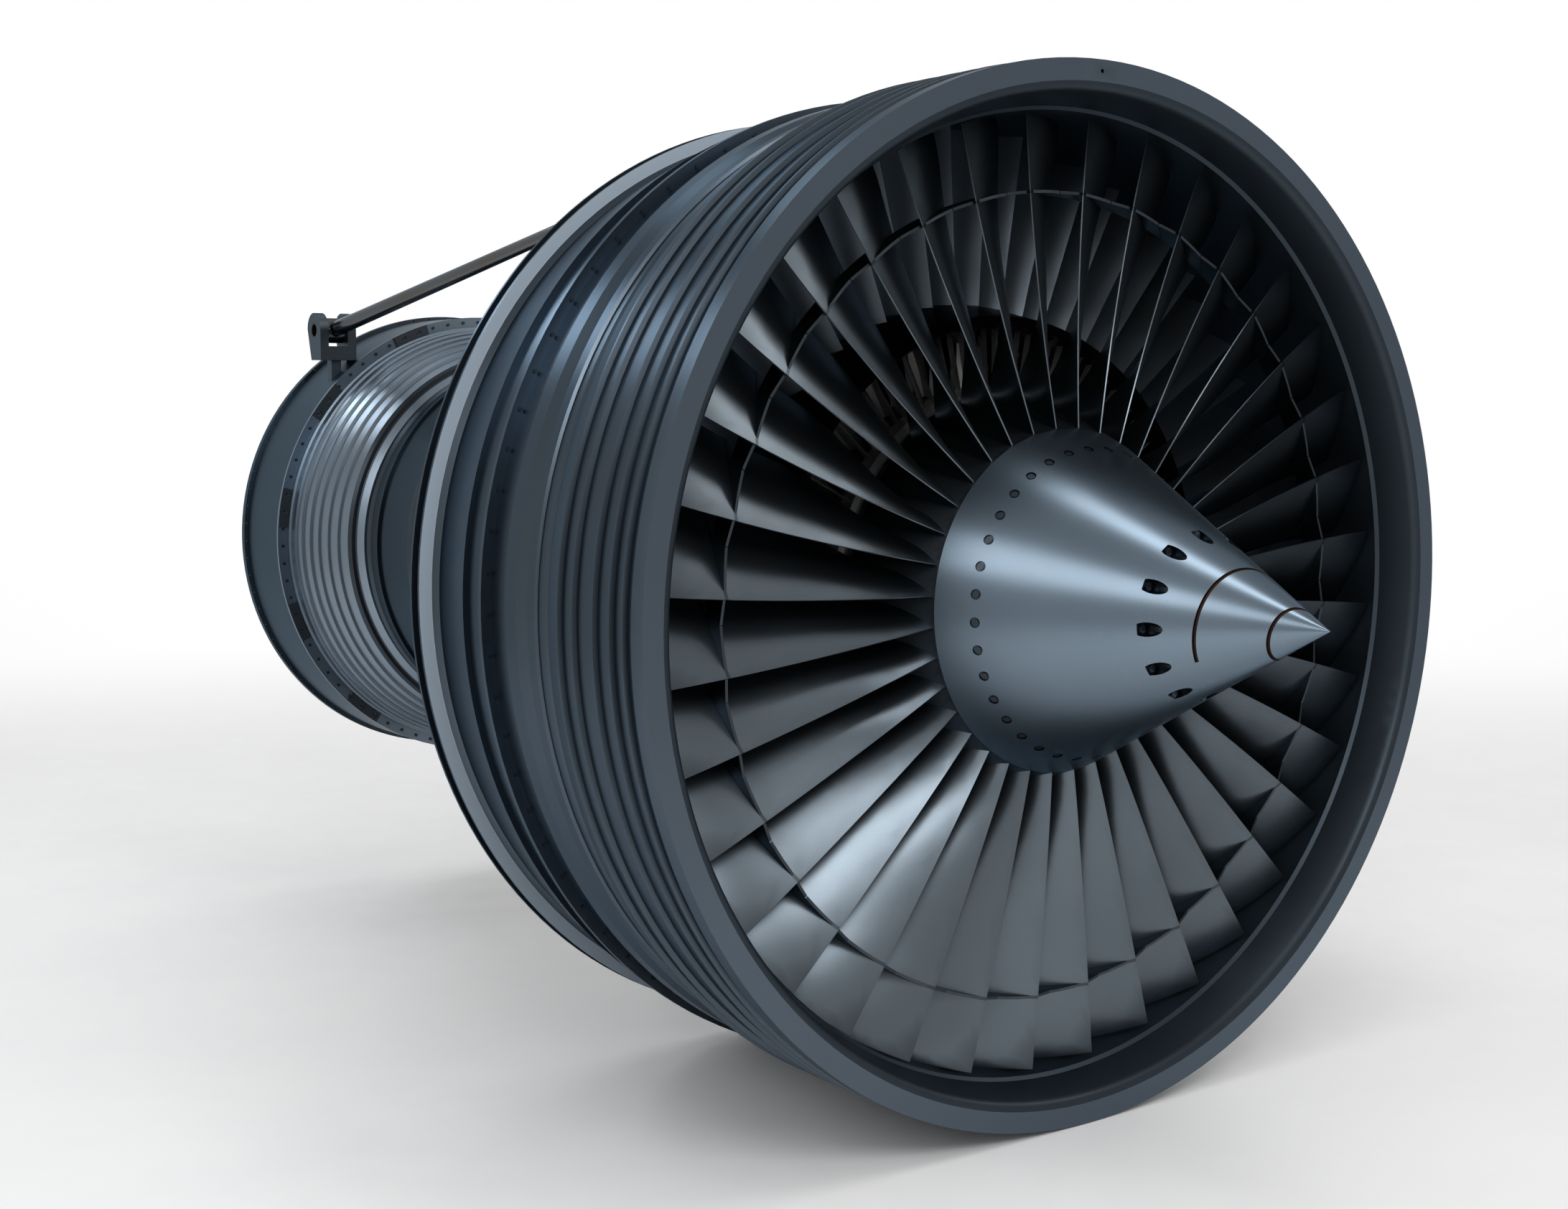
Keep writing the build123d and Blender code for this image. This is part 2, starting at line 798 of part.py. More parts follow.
# Fan frame: tapered outer case with two flanges
frame_step = fan_frame_front + 119.0
frame_taper_end = fan_frame_rear - 73.0
frame_flange_front = fan_frame_rear - 51.0
frame_rim_height = case_bore + 24.0
with BuildPart() as fan_frame_case:
    revolve(
        half_section(
            (fan_frame_front, bypass_bore),
            (fan_frame_front, case_bore + flange_height),
            (fan_frame_front + flange_thickness, case_bore + flange_height),
            (fan_frame_front + flange_thickness + 4.0, case_bore + 11.0),
            (fan_frame_front + 20.0, case_bore + 9.0),
            (frame_step, case_bore + 9.0),
            (frame_step, case_bore + 22.0),
            (frame_taper_end, case_bore - 21.0),
            (frame_flange_front - 2.0, case_bore - 9.0),
            (frame_flange_front, frame_rim_height - 1.0),
            (frame_flange_front + 10.0, frame_rim_height - 1.0),
            (frame_flange_front + 11.0, case_bore + 8.0),
            (fan_frame_rear - 9.0, case_bore + 8.0),
            (fan_frame_rear - 9.0, frame_rim_height),
            (fan_frame_rear, frame_rim_height),
            (fan_frame_rear, bypass_bore),
        ),
        axis=Axis.Y,
    )
    with BuildSketch(front_plane(fan_frame_front)):
        with PolarLocations(
            case_bore + flange_bolt_height, flange_bolt_count, polar_start(case_bolt_first)
        ):
            Circle(bolt_shank_radius + bolt_gap)
    extrude(amount=-flange_thickness, mode=Mode.SUBTRACT)

# Bypass duct's inner wall and splitter
bypass_hub_line = [(splitter_rear, bypass_hub_front), (bypass_hub_end, bypass_hub_rear)]
hub_front = fan_frame_front + 18.0
with BuildPart() as splitter_ring:
    revolve(
        half_section(
            (splitter_front, splitter_inner + 4.0),
            (splitter_front, splitter_outer - 4.0),
            (splitter_front + 7.0, splitter_outer),
            (splitter_rear, bypass_hub_front),
            (splitter_rear, bypass_hub_front - bypass_wall),
            (booster_front + splitter_wall, booster_case_front_radius + splitter_wall * 4),
            (splitter_front + 30.0, splitter_inner + splitter_wall),
            (booster_front, booster_case_front_radius + booster_wall),
            (booster_front, booster_case_front_radius),
            (splitter_front + 7.0, splitter_inner),
        ),
        axis=Axis.Y,
    )
with BuildPart() as bypass_inner_wall:
    revolve(
        half_section(
            (splitter_rear, bypass_hub_front),
            (hub_front, radius_on(bypass_hub_line, hub_front)),
            (hub_front, radius_on(bypass_hub_line, hub_front) - bypass_wall),
            (splitter_rear, bypass_hub_front - bypass_wall),
        ),
        axis=Axis.Y,
    )

# Outlet guide vanes and frame struts reach from the inner wall to the bypass duct's outer wall
duct_region = half_section(
    (guide_vane_nose - 20.0, radius_on(bypass_hub_line, guide_vane_nose - 20.0) + seat_gap),
    (bypass_hub_end, bypass_hub_rear + seat_gap),
    (bypass_hub_end, bypass_bore - seat_gap),
    (guide_vane_nose - 20.0, bypass_bore - seat_gap),
)
duct_middle = bypass_hub_front - 60.0
with BuildPart() as outlet_guide_vane:
    extrude(
        aerofoil(
            Plane.XY.offset(duct_middle),
            (0.0, guide_vane_nose),
            guide_vane_chord,
            -38.0,
            -2.0,
            guide_vane_thickness,
            fan_edge,
        ),
        amount=bypass_bore - duct_middle,
    )
    revolve(duct_region, axis=Axis.Y, mode=Mode.INTERSECT)
with BuildPart() as outlet_guide_vanes:
    add(around(outlet_guide_vane.part, guide_vane_count, guide_vane_first))

with BuildPart() as frame_strut:
    extrude(
        aerofoil(
            Plane.XY.offset(duct_middle),
            (0.0, strut_front),
            strut_chord,
            -2.0,
            2.0,
            strut_thickness,
            fan_edge * 2,
        ),
        amount=bypass_bore - duct_middle,
    )
    revolve(duct_region, axis=Axis.Y, mode=Mode.INTERSECT)
with BuildPart() as fan_frame_struts:
    add(around(frame_strut.part, strut_count))

# Core inlet: thin vanes between the splitter and an inner ring
splitter_inner_line = [(splitter_front, splitter_inner), (booster_front, booster_case_front_radius)]
inner_ring_line = [(inner_ring_front, inner_ring_outer), (inner_ring_rear, inner_ring_outer)]
with BuildPart() as inlet_vane_inner_ring:
    revolve(
        half_section(
            (inner_ring_front, inner_ring_outer - inner_ring_wall),
            (inner_ring_front, inner_ring_outer - inner_ring_wall / 2),
            (inner_ring_front + inner_ring_wall / 2, inner_ring_outer),
            (inner_ring_rear, inner_ring_outer),
            (inner_ring_rear, inner_ring_outer - inner_ring_wall / 2),
            (inner_ring_front + inner_ring_wall, inner_ring_outer - inner_ring_wall / 2),
            (inner_ring_front + inner_ring_wall / 2, inner_ring_outer - inner_ring_wall),
        ),
        axis=Axis.Y,
    )
inlet_vane_copies = blade_row(
    inlet_vane_station,
    inlet_vane_chord,
    12.0,
    inner_ring_line,
    splitter_inner_line,
    seat_gap,
    seat_gap,
    inlet_vane_count,
    inlet_vane_thickness,
)
with BuildPart() as core_inlet_vanes:
    add(inlet_vane_copies)

# Booster: case, drum and rows behind the core inlet
booster_case_line = [(booster_front, booster_case_front_radius), (booster_rear, booster_case_rear_radius)]
booster_hub_line = [(booster_front, booster_hub_front_radius), (booster_rear, booster_hub_rear_radius)]
drum_end = booster_rear - 12.0
with BuildPart() as booster_case:
    revolve(
        half_section(
            *booster_case_line,
            (booster_rear, booster_case_rear_radius + core_flange_height),
            (booster_rear - core_flange, booster_case_rear_radius + core_flange_height),
            (booster_rear - core_flange, booster_case_rear_radius + booster_wall + 3.0),
            (booster_front, booster_case_front_radius + booster_wall),
        ),
        axis=Axis.Y,
    )
drum_flange_radius = disk_rim_inner + 40.0
with BuildPart() as booster_drum:
    revolve(
        half_section(
            (disk_rear, disk_rim_inner),
            (disk_rear, drum_flange_radius),
            (disk_rear + 14.0, drum_flange_radius),
            (booster_front, booster_hub_front_radius - booster_wall * 4),
            (booster_front, booster_hub_front_radius),
            (drum_end, radius_on(booster_hub_line, drum_end)),
            (drum_end, radius_on(booster_hub_line, drum_end) - booster_wall),
            (booster_front + 25.0, radius_on(booster_hub_line, booster_front + 25.0) - booster_wall),
            (booster_front + 25.0, booster_hub_front_radius - booster_wall * 5),
            (disk_rear + 14.0, disk_rim_inner + 12.0),
            (disk_rear + 14.0, disk_rim_inner),
        ),
        axis=Axis.Y,
    )
booster_pitch = (drum_end - booster_front) / (booster_rotor_rows * 2)
booster_chord = booster_pitch * 0.75
booster_first = booster_front + booster_pitch / 2
booster_blade_copies = rows(
    booster_first,
    booster_pitch * 2,
    booster_rotor_rows,
    booster_chord,
    40.0,
    booster_hub_line,
    booster_case_line,
    seat_gap,
    run_gap,
    booster_blade_count,
)
booster_vane_copies = rows(
    booster_first + booster_pitch,
    booster_pitch * 2,
    booster_rotor_rows,
    booster_chord,
    -30.0,
    booster_hub_line,
    booster_case_line,
    run_gap,
    seat_gap,
    booster_blade_count,
)
with BuildPart() as booster_blades:
    add(booster_blade_copies)
with BuildPart() as booster_vanes:
    add(booster_vane_copies)

# Fan frame's inner parts: hub with the core duct's outer wall, and core with the inner wall and bearings
duct_outer_line = [(booster_rear, booster_case_rear_radius), (compressor_front, compressor_case_front_radius)]
duct_inner_line = [(booster_rear, booster_hub_rear_radius), (compressor_front, compressor_hub_front_radius)]
web_rear = bypass_hub_end - 20.0
web_front = web_rear - 14.0
with BuildPart() as fan_frame_hub:
    revolve(
        half_section(
            (hub_front, radius_on(bypass_hub_line, hub_front) - frame_wall * 2),
            (hub_front, radius_on(bypass_hub_line, hub_front)),
            (bypass_hub_end, bypass_hub_rear),
            (bypass_hub_end, bypass_hub_rear - frame_wall * 2),
            (web_rear, bypass_hub_rear - frame_wall * 2),
            (web_rear, radius_on(duct_outer_line, web_rear) + frame_wall),
            (compressor_front - core_flange, compressor_case_front_radius + frame_wall + 3.0),
            (compressor_front - core_flange, compressor_case_front_radius + core_flange_height),
            (compressor_front, compressor_case_front_radius + core_flange_height),
            (compressor_front, compressor_case_front_radius),
            (booster_rear, booster_case_rear_radius),
            (booster_rear, booster_case_rear_radius + core_flange_height),
            (booster_rear + core_flange, booster_case_rear_radius + core_flange_height),
            (booster_rear + core_flange, booster_case_rear_radius + frame_wall),
            (web_front, radius_on(duct_outer_line, web_front) + frame_wall),
            (web_front, bypass_hub_rear - frame_wall * 2),
        ),
        axis=Axis.Y,
    )

lp_front_radii = bearing_radii(fan_shaft_radius)
core_front_radii = bearing_radii(core_shaft_radius)
core_rear_radii = bearing_radii(core_shaft_radius)
lp_rear_radii = bearing_radii(lp_shaft_radius)
bearing_half = bearing_width / 2
duct_inner_under = raised(duct_inner_line, -frame_wall)
core_duct_region = half_section(
    (booster_rear, radius_on(duct_inner_line, booster_rear) - frame_wall / 2),
    (compressor_front, compressor_hub_front_radius - frame_wall / 2),
    (compressor_front, compressor_case_front_radius - seat_gap),
    (booster_rear, booster_case_rear_radius - seat_gap),
)
core_strut_front = booster_rear + 60.0
with BuildPart() as core_strut:
    extrude(
        aerofoil(
            Plane.XY.offset(compressor_hub_front_radius),
            (0.0, core_strut_front),
            core_strut_chord,
            -2.0,
            2.0,
            core_strut_thickness,
            fan_edge * 2,
        ),
        amount=booster_case_rear_radius - compressor_hub_front_radius,
    )
    revolve(core_duct_region, axis=Axis.Y, mode=Mode.INTERSECT)
lp_web_front = lp_front_bearing - 8.0
lp_web_rear = lp_front_bearing + 8.0
lp_housing_bore = lp_front_radii[3] + bearing_fit
core_housing_front = core_front_bearing - bearing_half
core_housing_rear = core_front_bearing + bearing_half
with BuildPart() as fan_frame_core:
    revolve(
        half_section(
            (booster_rear, booster_hub_rear_radius),
            (compressor_front, compressor_hub_front_radius),
            (core_housing_rear, compressor_hub_front_radius),
            (core_housing_rear, core_front_radii[3] + bearing_fit),
            (core_housing_front, core_front_radii[3] + bearing_fit),
            (core_housing_front, radius_on(duct_inner_under, core_housing_front)),
            (lp_web_rear, radius_on(duct_inner_under, lp_web_rear)),
            (lp_web_rear, lp_housing_bore + housing_wall),
            (lp_front_bearing + bearing_half, lp_housing_bore + housing_wall),
            (lp_front_bearing + bearing_half, lp_housing_bore),
            (lp_front_bearing - bearing_half, lp_housing_bore),
            (lp_front_bearing - bearing_half, lp_housing_bore + housing_wall),
            (lp_web_front, lp_housing_bore + housing_wall),
            (lp_web_front, radius_on(duct_inner_under, lp_web_front)),
            (booster_rear, booster_hub_rear_radius - frame_wall),
        ),
        axis=Axis.Y,
    )
    add(around(core_strut.part, core_strut_count))

# Compressor: tapered case, drum and rows
compressor_rear = combustor_front - core_flange
compressor_case_line = [
    (compressor_front, compressor_case_front_radius),
    (compressor_rear, compressor_case_rear_radius),
]
drum_front = compressor_front + compressor_margin
drum_rear = compressor_rear - 8.0
compressor_hub_line = [(drum_front, compressor_hub_front_radius), (drum_rear, compressor_hub_rear_radius)]
with BuildPart() as compressor_case:
    revolve(
        half_section(
            *compressor_case_line,
            (compressor_rear, compressor_case_rear_radius + core_flange_height),
            (compressor_rear - core_flange, compressor_case_rear_radius + core_flange_height),
            (compressor_rear - core_flange, compressor_case_rear_radius + compressor_wall),
            (compressor_front + core_flange, compressor_case_front_radius + compressor_wall),
            (compressor_front + core_flange, compressor_case_front_radius + core_flange_height),
            (compressor_front, compressor_case_front_radius + core_flange_height),
        ),
        axis=Axis.Y,
    )
shaft_seat = core_shaft_radius + seat_gap
drum_web = 16.0
with BuildPart() as compressor_drum:
    revolve(
        half_section(
            (drum_front, shaft_seat),
            (drum_front, compressor_hub_front_radius),
            (drum_rear, compressor_hub_rear_radius),
            (drum_rear, shaft_seat),
            (drum_rear - drum_web, shaft_seat),
            (drum_rear - drum_web, compressor_hub_rear_radius - compressor_wall * 2),
            (drum_front + drum_web, compressor_hub_front_radius - compressor_wall),
            (drum_front + drum_web, shaft_seat),
        ),
        axis=Axis.Y,
    )
compressor_pitch = (drum_rear - drum_front) / (compressor_rotor_rows * 2)
compressor_chord = compressor_pitch * 0.7
compressor_blade_copies = rows(
    drum_front + compressor_pitch / 2,
    compressor_pitch * 2,
    compressor_rotor_rows,
    compressor_chord,
    35.0,
    compressor_hub_line,
    compressor_case_line,
    seat_gap,
    run_gap,
    compressor_blade_count,
)
compressor_vane_copies = rows(
    drum_front + compressor_pitch * 1.5,
    compressor_pitch * 2,
    compressor_rotor_rows,
    compressor_chord,
    -25.0,
    compressor_hub_line,
    compressor_case_line,
    run_gap,
    seat_gap,
    compressor_blade_count,
)
with BuildPart() as compressor_blades:
    add(compressor_blade_copies)
with BuildPart() as compressor_vanes:
    add(compressor_vane_copies)

# Diffuser frame between the compressor and the combustor, which also holds the core's rear bearing
passage_outer = compressor_case_rear_radius
passage_inner = compressor_hub_rear_radius
diffuser_end = combustor_front + 60.0
diffuser_web = 12.0
core_rear_bore = core_rear_radii[3] + bearing_fit
with BuildPart() as diffuser_strut:
    extrude(
        ring_section(
            combustor_front + 10.0, diffuser_end - 8.0, passage_inner - 5.0, passage_outer + 5.0
        ),
        amount=diffuser_web / 2,
        both=True,
    )
with BuildPart() as diffuser_frame:
    revolve(
        half_section(
            (compressor_rear, passage_outer),
            (compressor_rear, passage_outer + core_flange_height),
            (combustor_front, passage_outer + core_flange_height),
            (combustor_front, passage_outer + 8.0),
            (diffuser_end, passage_outer + 8.0),
            (diffuser_end, passage_outer),
        ),
        axis=Axis.Y,
    )
    revolve(
        half_section(
            (compressor_rear, passage_inner),
            (diffuser_end, passage_inner),
            (core_rear_bearing + diffuser_web, core_rear_bore + housing_wall),
            (core_rear_bearing + bearing_half, core_rear_bore + housing_wall),
            (core_rear_bearing + bearing_half, core_rear_bore),
            (core_rear_bearing - bearing_half, core_rear_bore),
            (core_rear_bearing - bearing_half, core_rear_bore + housing_wall),
            (core_rear_bearing - diffuser_web, core_rear_bore + housing_wall),
            (diffuser_end - diffuser_web, passage_inner - diffuser_web),
            (compressor_rear, passage_inner - diffuser_web),
        ),
        axis=Axis.Y,
    )
    add(around(diffuser_strut.part, core_strut_count))

# Combustor case, a cone and a cylinder, with a hole for each fuel nozzle
cone_end = combustor_front + combustor_cone_length
case_flange_radius = compressor_case_rear_radius + core_flange_height
cone_front_radius = compressor_case_rear_radius + compressor_wall
cone_wall = combustor_wall * 1.4
with BuildPart() as nozzle_hole:
    with BuildSketch(Plane.XY.offset(combustor_radius - combustor_wall * 2)):
        with Locations((0, at(nozzle_station))):
            Circle(nozzle_stem_radius + bolt_gap)
    extrude(amount=combustor_wall * 3)
with BuildPart() as combustor_case:
    revolve(
        half_section(
            (combustor_front, cone_front_radius),
            (combustor_front, case_flange_radius),
            (combustor_front + core_flange, case_flange_radius),
            (combustor_front + core_flange, cone_front_radius + cone_wall),
            (cone_end, combustor_radius),
            (core_turbine_front - core_flange, combustor_radius),
            (core_turbine_front - core_flange, combustor_radius + combustor_flange_height),
            (core_turbine_front, combustor_radius + combustor_flange_height),
            (core_turbine_front, combustor_radius - combustor_wall),
            (cone_end + combustor_wall / 2, combustor_radius - combustor_wall),
            (combustor_front + core_flange, cone_front_radius),
        ),
        axis=Axis.Y,
    )
    add(around(nozzle_hole.part, nozzle_count, nozzle_first), mode=Mode.SUBTRACT)

# Combustor liner: an annular box that opens towards the turbine, hung from the turbine case
liner_rear = core_turbine_front + 60.0
with BuildPart() as combustor_liner:
    revolve(
        half_section(
            (liner_front, liner_inner_radius),
            (liner_front, liner_outer_radius),
            (core_turbine_front - 5.0, liner_outer_radius + 12.0),
            (core_turbine_front + 35.0, core_tip_bore - seat_gap),
            (liner_rear, core_tip_bore - seat_gap),
            (liner_rear, core_tip_bore - liner_wall),
            (core_turbine_front + 37.0, core_tip_bore - liner_wall - 1.0),
            (core_turbine_front - 3.0, liner_outer_radius + 12.0 - liner_wall),
            (liner_front + liner_wall, liner_outer_radius - liner_wall),
            (liner_front + liner_wall, liner_inner_radius + liner_wall),
            (liner_rear, core_hub_radius - 4.0),
            (liner_rear, core_hub_radius - 4.0 - liner_wall),
        ),
        axis=Axis.Y,
    )

# Fuel nozzles, manifold ring and hoop pipes
nozzle_top = combustor_radius + nozzle_pad_height
nozzle_circle = (liner_outer_radius + liner_inner_radius) / 2
with BuildPart() as fuel_nozzle:
    with BuildSketch(Plane.XY.offset(nozzle_top)):
        with Locations((0, at(nozzle_station))):
            Circle(nozzle_pad_radius)
    extrude(amount=-nozzle_pad_height + seat_gap)
    with BuildSketch(Plane.XY.offset(nozzle_top)):
        with Locations((0, at(nozzle_station))):
            Circle(nozzle_stem_radius)
    extrude(amount=-(nozzle_top - nozzle_circle))
    with BuildSketch(front_plane(nozzle_station - nozzle_tip_radius)):
        with Locations((0, nozzle_circle)):
            Circle(nozzle_tip_radius)
    extrude(amount=-(liner_front - nozzle_station + nozzle_tip_radius - seat_gap))
with BuildPart() as fuel_nozzles:
    add(around(fuel_nozzle.part, nozzle_count, nozzle_first))

with BuildPart() as fuel_manifold:
    with BuildSketch(Plane.YZ):
        with Locations((at(manifold_station), manifold_radius)):
            Circle(manifold_tube)
    revolve(axis=Axis.Y)

with BuildPart() as fuel_hoop:
    with BuildLine(Plane.YZ) as hoop_path:
        FilletPolyline(
            (at(manifold_station), manifold_radius + manifold_tube + seat_gap),
            (at(manifold_station), hoop_crest),
            (at(nozzle_station), hoop_crest),
            (at(nozzle_station), nozzle_top),
            radius=hoop_bend,
        )
    with BuildSketch(Plane.XY.offset(manifold_radius + manifold_tube + seat_gap)):
        with Locations((0, at(manifold_station))):
            Circle(hoop_tube)
    sweep(path=hoop_path.line)
with BuildPart() as fuel_hoops:
    add(around(fuel_hoop.part, nozzle_count, nozzle_first))

# High-pressure turbine case
core_front = core_turbine_front
with BuildPart() as core_turbine_case:
    revolve(
        half_section(
            (core_front, core_tip_bore),
            (core_front, combustor_radius + combustor_flange_height),
            (core_front + 12.0, core_shoulder_radius - 8.0),
            (core_front + 24.0, core_shoulder_radius),
            (core_front + 65.0, core_shoulder_radius),
            (core_front + 77.0, core_case_radius),
            (core_front + 245.0, core_case_radius),
            (core_front + 245.0, core_case_radius + 9.0),
            (core_front + 256.0, core_case_radius + 9.0),
            (core_front + 257.0, core_case_radius + 3.0),
            (core_front + 271.0, core_case_radius + 3.0),
            (core_front + 272.0, core_case_radius),
            (core_front + 316.0, core_case_radius),
            (core_front + 325.0, core_case_radius - 4.0),
            (core_front + 340.0, core_case_radius + 3.0),
            (lp_turbine_front, core_case_radius),
            (lp_turbine_front, core_tip_bore),
        ),
        axis=Axis.Y,
    )

# High-pressure turbine rows, drum and disks
core_wall_line = [(core_front, core_tip_bore), (lp_turbine_front, core_tip_bore)]
core_hub_line = [(core_front, core_hub_radius), (lp_turbine_front, core_hub_radius)]
core_drum_front = liner_rear + 10.0
core_drum_rear = lp_turbine_front - 75.0
core_pitch = (core_drum_rear - core_drum_front) / (core_rows * 2)
core_disk_half = 14.0
core_rim = 22.0
with BuildPart() as core_turbine_drum:
    revolve(
        ring_section(core_drum_front, core_drum_rear, core_hub_radius - core_rim, core_hub_radius),
        axis=Axis.Y,
    )
    for index in range(core_rows):
        disk_station = core_drum_front + core_pitch * (index * 2 + 1.5)
        revolve(
            ring_section(
                disk_station - core_disk_half,
                disk_station + core_disk_half,
                shaft_seat,
                core_hub_radius - 1.0,
            ),
            axis=Axis.Y,
        )
core_blade_copies = rows(
    core_drum_front + core_pitch * 1.5,
    core_pitch * 2,
    core_rows,
    core_pitch * 0.8,
    -35.0,
    core_hub_line,
    core_wall_line,
    seat_gap,
    run_gap,
    core_blade_count,
)
core_vane_copies = rows(
    core_drum_front + core_pitch * 0.5,
    core_pitch * 2,
    core_rows,
    core_pitch * 0.8,
    40.0,
    core_hub_line,
    core_wall_line,
    run_gap,
    seat_gap,
    core_blade_count,
)
with BuildPart() as core_turbine_blades:
    add(core_blade_copies)
with BuildPart() as core_nozzle_vanes:
    add(core_vane_copies)

# Low-pressure turbine case: a flared wall with seven fine ribs and a bolted rear flange
lp_rib_stations = [lp_first_rib + lp_rib_pitch * index for index in range(len(lp_case_radii))]
lp_case_line = [(lp_cone_end, lp_cone_radius)] + list(zip(lp_rib_stations, lp_case_radii))
lp_front_cone = [(lp_turbine_front, core_case_radius), (lp_cone_end, lp_cone_radius)]
lp_flange_front = rear_frame_front - lp_flange
lp_case_line.append((lp_flange_front, lp_flange_inner))
lp_inner_line = [(lp_turbine_front, core_tip_bore + 4.0)] + raised(lp_case_line, -lp_wall)
with BuildPart() as lp_turbine_case:
    revolve(
        half_section(
            *ribs_on(lp_front_cone, [lp_turbine_front + lp_cone_lip], lp_rib_height, lp_rib_width)[:-1],
            *ribs_on(lp_case_line, lp_rib_stations, lp_rib_height, lp_rib_width),
            (lp_flange_front, lp_flange_radius),
            (rear_frame_front, lp_flange_radius),
            (rear_frame_front, lp_flange_inner),
            *reversed(lp_inner_line),
        ),
        axis=Axis.Y,
    )
    with BuildSketch(front_plane(lp_flange_front)):
        with PolarLocations(lp_bolt_circle, flange_bolt_count, polar_start(lp_bolt_first)):
            Circle(bolt_shank_radius + bolt_gap)
    extrude(amount=-lp_flange, mode=Mode.SUBTRACT)

with BuildPart() as pad_bolt_hole_cutter:
    with BuildSketch(front_plane(lp_flange_front)):
        with Locations((0, lp_bolt_circle)):
            Circle(pad_bolt_hole)
    extrude(amount=pad_height)
pad_inner_radius = max(lp_flange_inner, lp_case_radii[-1] + lp_rib_height) + pad_gap
with BuildPart() as flange_pad:
    revolve(
        ring_section(lp_flange_front - pad_height, lp_flange_front, pad_inner_radius, lp_flange_radius),
        axis=Axis.Y,
        revolution_arc=pad_arc,
    )
with BuildPart() as flange_pads:
    add(around(flange_pad.part, pad_count, pad_first + pad_arc / 2))
    add(around(pad_bolt_hole_cutter.part, flange_bolt_count, lp_bolt_first), mode=Mode.SUBTRACT)

frame_bolt = bolt(
    lp_flange_front,
    lp_flange + band_front_ring / 2,
    lp_bolt_circle,
    bolt_head_radius,
    bolt_head_height,
    bolt_shank_radius,
)
with BuildPart() as frame_flange_bolts:
    add(around(frame_bolt, flange_bolt_count, lp_bolt_first))

# Low-pressure turbine rows and drum
lp_drum_front = lp_turbine_front + 12.0
lp_drum_rear = lp_flange_front - 12.0
lp_pitch = (lp_drum_rear - lp_drum_front) / (lp_rows * 2)
lp_hub_line = [(lp_drum_front, lp_hub_radius), (lp_drum_rear, lp_hub_radius)]
lp_rim = 16.0
lp_cone_top = lp_hub_radius - lp_rim + 1.0
lp_shaft_seat = lp_shaft_radius + seat_gap
lp_bore_front = lp_drum_rear - 30.0
lp_bore_rear = rear_hub_front - 10.0
with BuildPart() as lp_turbine_drum:
    revolve(ring_section(lp_drum_front, lp_drum_rear, lp_hub_radius - lp_rim, lp_hub_radius), axis=Axis.Y)
    revolve(
        half_section(
            (lp_drum_rear - 70.0, lp_cone_top),
            (lp_drum_rear - 50.0, lp_cone_top),
            (lp_bore_rear, lp_shaft_seat + 30.0),
            (lp_bore_rear, lp_shaft_seat),
            (lp_bore_front, lp_shaft_seat),
            (lp_bore_front, lp_shaft_seat + 30.0),
        ),
        axis=Axis.Y,
    )
lp_blade_copies = rows(
    lp_drum_front + lp_pitch * 1.5,
    lp_pitch * 2,
    lp_rows,
    lp_pitch * 0.75,
    -32.0,
    lp_hub_line,
    lp_inner_line,
    seat_gap,
    run_gap,
    lp_blade_count,
)
lp_vane_copies = rows(
    lp_drum_front + lp_pitch * 0.5,
    lp_pitch * 2,
    lp_rows,
    lp_pitch * 0.75,
    36.0,
    lp_hub_line,
    lp_inner_line,
    run_gap,
    seat_gap,
    lp_blade_count,
)
with BuildPart() as lp_turbine_blades:
    add(lp_blade_copies)
with BuildPart() as lp_nozzle_vanes:
    add(lp_vane_copies)

# Rear frame: band with exhaust flange, struts, hub and cover
band_inner = band_radius - band_wall
with BuildPart() as rear_frame_case:
    revolve(
        half_section(
            (rear_frame_front, lp_flange_inner),
            (rear_frame_front, band_radius),
            (engine_length - exhaust_flange_thickness, band_radius),
            (engine_length - exhaust_flange_thickness, exhaust_flange_radius),
            (engine_length, exhaust_flange_radius),
            (engine_length, band_inner),
            (rear_frame_front + band_front_ring + 15.0, band_inner),
            (rear_frame_front + band_front_ring, lp_flange_inner),
        ),
        axis=Axis.Y,
    )
    with BuildSketch(front_plane(engine_length)):
        with PolarLocations(exhaust_bolt_circle, flange_bolt_count, polar_start(exhaust_first)):
            Circle(exhaust_hole_radius)
    extrude(amount=exhaust_flange_thickness, mode=Mode.SUBTRACT)
    with BuildSketch(front_plane(rear_frame_front)):
        with PolarLocations(lp_bolt_circle, flange_bolt_count, polar_start(lp_bolt_first)):
            Circle(bolt_shank_radius + bolt_gap)
    extrude(amount=-band_front_ring / 2 - 2.0, mode=Mode.SUBTRACT)

rear_region = ring_section(
    rear_strut_front - 20.0,
    rear_strut_front + rear_strut_chord + 20.0,
    rear_hub_radius + seat_gap,
    band_inner - seat_gap,
)
with BuildPart() as rear_strut:
    extrude(
        aerofoil(
            Plane.XY.offset(rear_hub_radius - 30.0),
            (0.0, rear_strut_front),
            rear_strut_chord,
            -2.0,
            2.0,
            rear_strut_thickness,
            fan_edge * 2,
        ),
        amount=band_radius - rear_hub_radius + 30.0,
    )
    revolve(rear_region, axis=Axis.Y, mode=Mode.INTERSECT)
with BuildPart() as rear_frame_struts:
    add(around(rear_strut.part, rear_strut_count, rear_strut_first))

